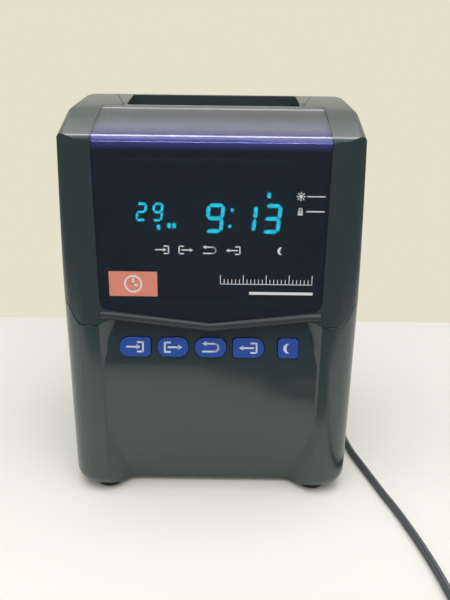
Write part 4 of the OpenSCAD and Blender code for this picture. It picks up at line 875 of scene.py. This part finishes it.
class CLOCK_OT_plug(bpy.types.Operator):
    """Finish the strain relief, the coil's tie and the plug"""
    bl_idname = "clock.finish_plug"
    bl_label = "Finish the plug"

    def execute(self, context):
        black = add_grain(plain_material("plug_black", (0.022, 0.024, 0.030), 0.5), FINE_GRAIN, 0.06)
        plug = copy_of("plug_body", "plug_grip")
        break_edges(plug, 1.2 * MM, segments=3, angle=40)
        dress(plug, black)
        place_piece(plug, "base", "cord_plastic", "plug_body")
        boot = copy_of("cord_gland", "strain_relief")
        break_edges(boot, 0.5 * MM, angle=30)
        dress(boot, black)
        place_piece(boot, "base", "cord_plastic", "cord_gland")
        paint_nodes(black, "coil_tie")
        paint_nodes(plain_material("blade_brass", (0.66, 0.55, 0.30), 0.28, 1.0), "plug_blades")
        return {"FINISHED"}


class CLOCK_OT_lock(bpy.types.Operator):
    """Finish the hood lock and the hinge pins in plated metal"""
    bl_idname = "clock.finish_lock"
    bl_label = "Finish the lock"

    def execute(self, context):
        plated = plain_material("lock_plating", (0.62, 0.62, 0.61), 0.22, 1.0)
        for node, name, body in (("lock_barrel", "lock_ring", "hood"), ("lock_plug", "lock_core", "lock")):
            piece = copy_of(node, name)
            break_edges(piece, 0.3 * MM, angle=40)
            dress(piece, plated)
            place_piece(piece, body, "lock_metal", node)
        paint_nodes(plain_material("zinc_steel", (0.52, 0.53, 0.51), 0.38, 1.0), "lock_cam", "hinge_pins")
        return {"FINISHED"}


class CLOCK_OT_works(bpy.types.Operator):
    """Finish the frames, the card feed, the printer and the boards inside"""
    bl_idname = "clock.finish_works"
    bl_label = "Finish the works"

    def execute(self, context):
        sheet = add_grain(plain_material("frame_zinc", (0.55, 0.56, 0.54), 0.40, 1.0), 300, 0.05)
        paint_nodes(sheet, "left_frame", "right_frame", "printer_shelf", "front_card_guide",
                    "rear_card_guide", "frame_screws", "base_screws")
        paint_nodes(plain_material("ground_shaft", (0.70, 0.70, 0.69), 0.18, 1.0),
                    "guide_rails", "feed_shaft")
        paint_nodes(plain_material("roller_rubber", (0.025, 0.025, 0.026), 0.7),
                    "feed_rollers", "pinch_rollers", "platen")
        paint_nodes(plain_material("gear_ivory", (0.72, 0.66, 0.50), 0.42),
                    "feed_gear", "drive_pulley", "idler_pulley", "ribbon_knob")
        paint_nodes(plain_material("pinion_brass", (0.70, 0.50, 0.18), 0.30, 1.0), "feed_pinion")
        paint_nodes(plain_material("motor_grey", (0.22, 0.23, 0.23), 0.35, 0.6),
                    "carriage_motor", "feed_motor", "print_head")
        paint_nodes(plain_material("printer_black", (0.020, 0.021, 0.022), 0.45), "ribbon_case", "carriage")
        paint_nodes(plain_material("belt_black", (0.015, 0.015, 0.015), 0.7), "carriage_belt")
        paint_nodes(plain_material("ribbon_ink", (0.020, 0.012, 0.050), 0.85), "ribbon_band")
        paint_nodes(plain_material("board_lacquer", (0.020, 0.110, 0.050), 0.35),
                    "main_board", "button_board", "power_board")
        paint_nodes(plain_material("chip_black", (0.014, 0.014, 0.014), 0.5),
                    "board_chips", "button_switches")
        paint_nodes(plain_material("capacitor_blue", (0.030, 0.055, 0.20), 0.35), "board_capacitors")
        paint_nodes(plain_material("core_lacquer", (0.080, 0.085, 0.080), 0.4, 0.5), "transformer_core")
        paint_nodes(plain_material("winding_tape", (0.48, 0.33, 0.06), 0.5), "transformer_coil")
        paint_nodes(plain_material("battery_sleeve", (0.030, 0.22, 0.11), 0.4), "backup_battery")
        return {"FINISHED"}


STEPS = (
    "set_stage", "finish_plug", "lay_cord", "finish_case", "finish_window", "print_window", "light_display",
    "finish_buttons", "finish_feet", "finish_lock", "finish_works",
)


class CLOCK_PT_panel(bpy.types.Panel):
    """Lists the steps that dress the clock"""
    bl_idname = "CLOCK_PT_panel"
    bl_label = "Time recorder"
    bl_space_type = "VIEW_3D"
    bl_region_type = "UI"
    bl_category = "Clock"

    def draw(self, context):
        for step in STEPS:
            self.layout.operator("clock." + step)
        for group in SETTINGS:
            settings = getattr(context.scene, group)
            for name in settings.__annotations__:
                self.layout.prop(settings, name)


SETTINGS = {
    "clock_case": CaseFinish,
    "clock_window": WindowFinish,
    "clock_buttons": ButtonFinish,
    "clock_cord": CordFinish,
    "clock_studio": StudioSetup,
}
CLASSES = (
    *SETTINGS.values(), CLOCK_OT_stage, CLOCK_OT_cord, CLOCK_OT_plug, CLOCK_OT_case, CLOCK_OT_window,
    CLOCK_OT_marks, CLOCK_OT_display, CLOCK_OT_buttons, CLOCK_OT_feet, CLOCK_OT_lock, CLOCK_OT_works,
    CLOCK_PT_panel,
)


def register():
    """Adds the classes and their settings to Blender."""
    for cls in CLASSES:
        bpy.utils.register_class(cls)
    for group, cls in SETTINGS.items():
        setattr(bpy.types.Scene, group, bpy.props.PointerProperty(type=cls))


def unregister():
    """Takes the settings and the classes out again."""
    for group in SETTINGS:
        delattr(bpy.types.Scene, group)
    for cls in reversed(CLASSES):
        bpy.utils.unregister_class(cls)


def main():
    """Dresses the clock step by step."""
    register()
    for step in STEPS:
        getattr(bpy.ops.clock, step)()
    deselect()


if __name__ == "__main__":
    main()
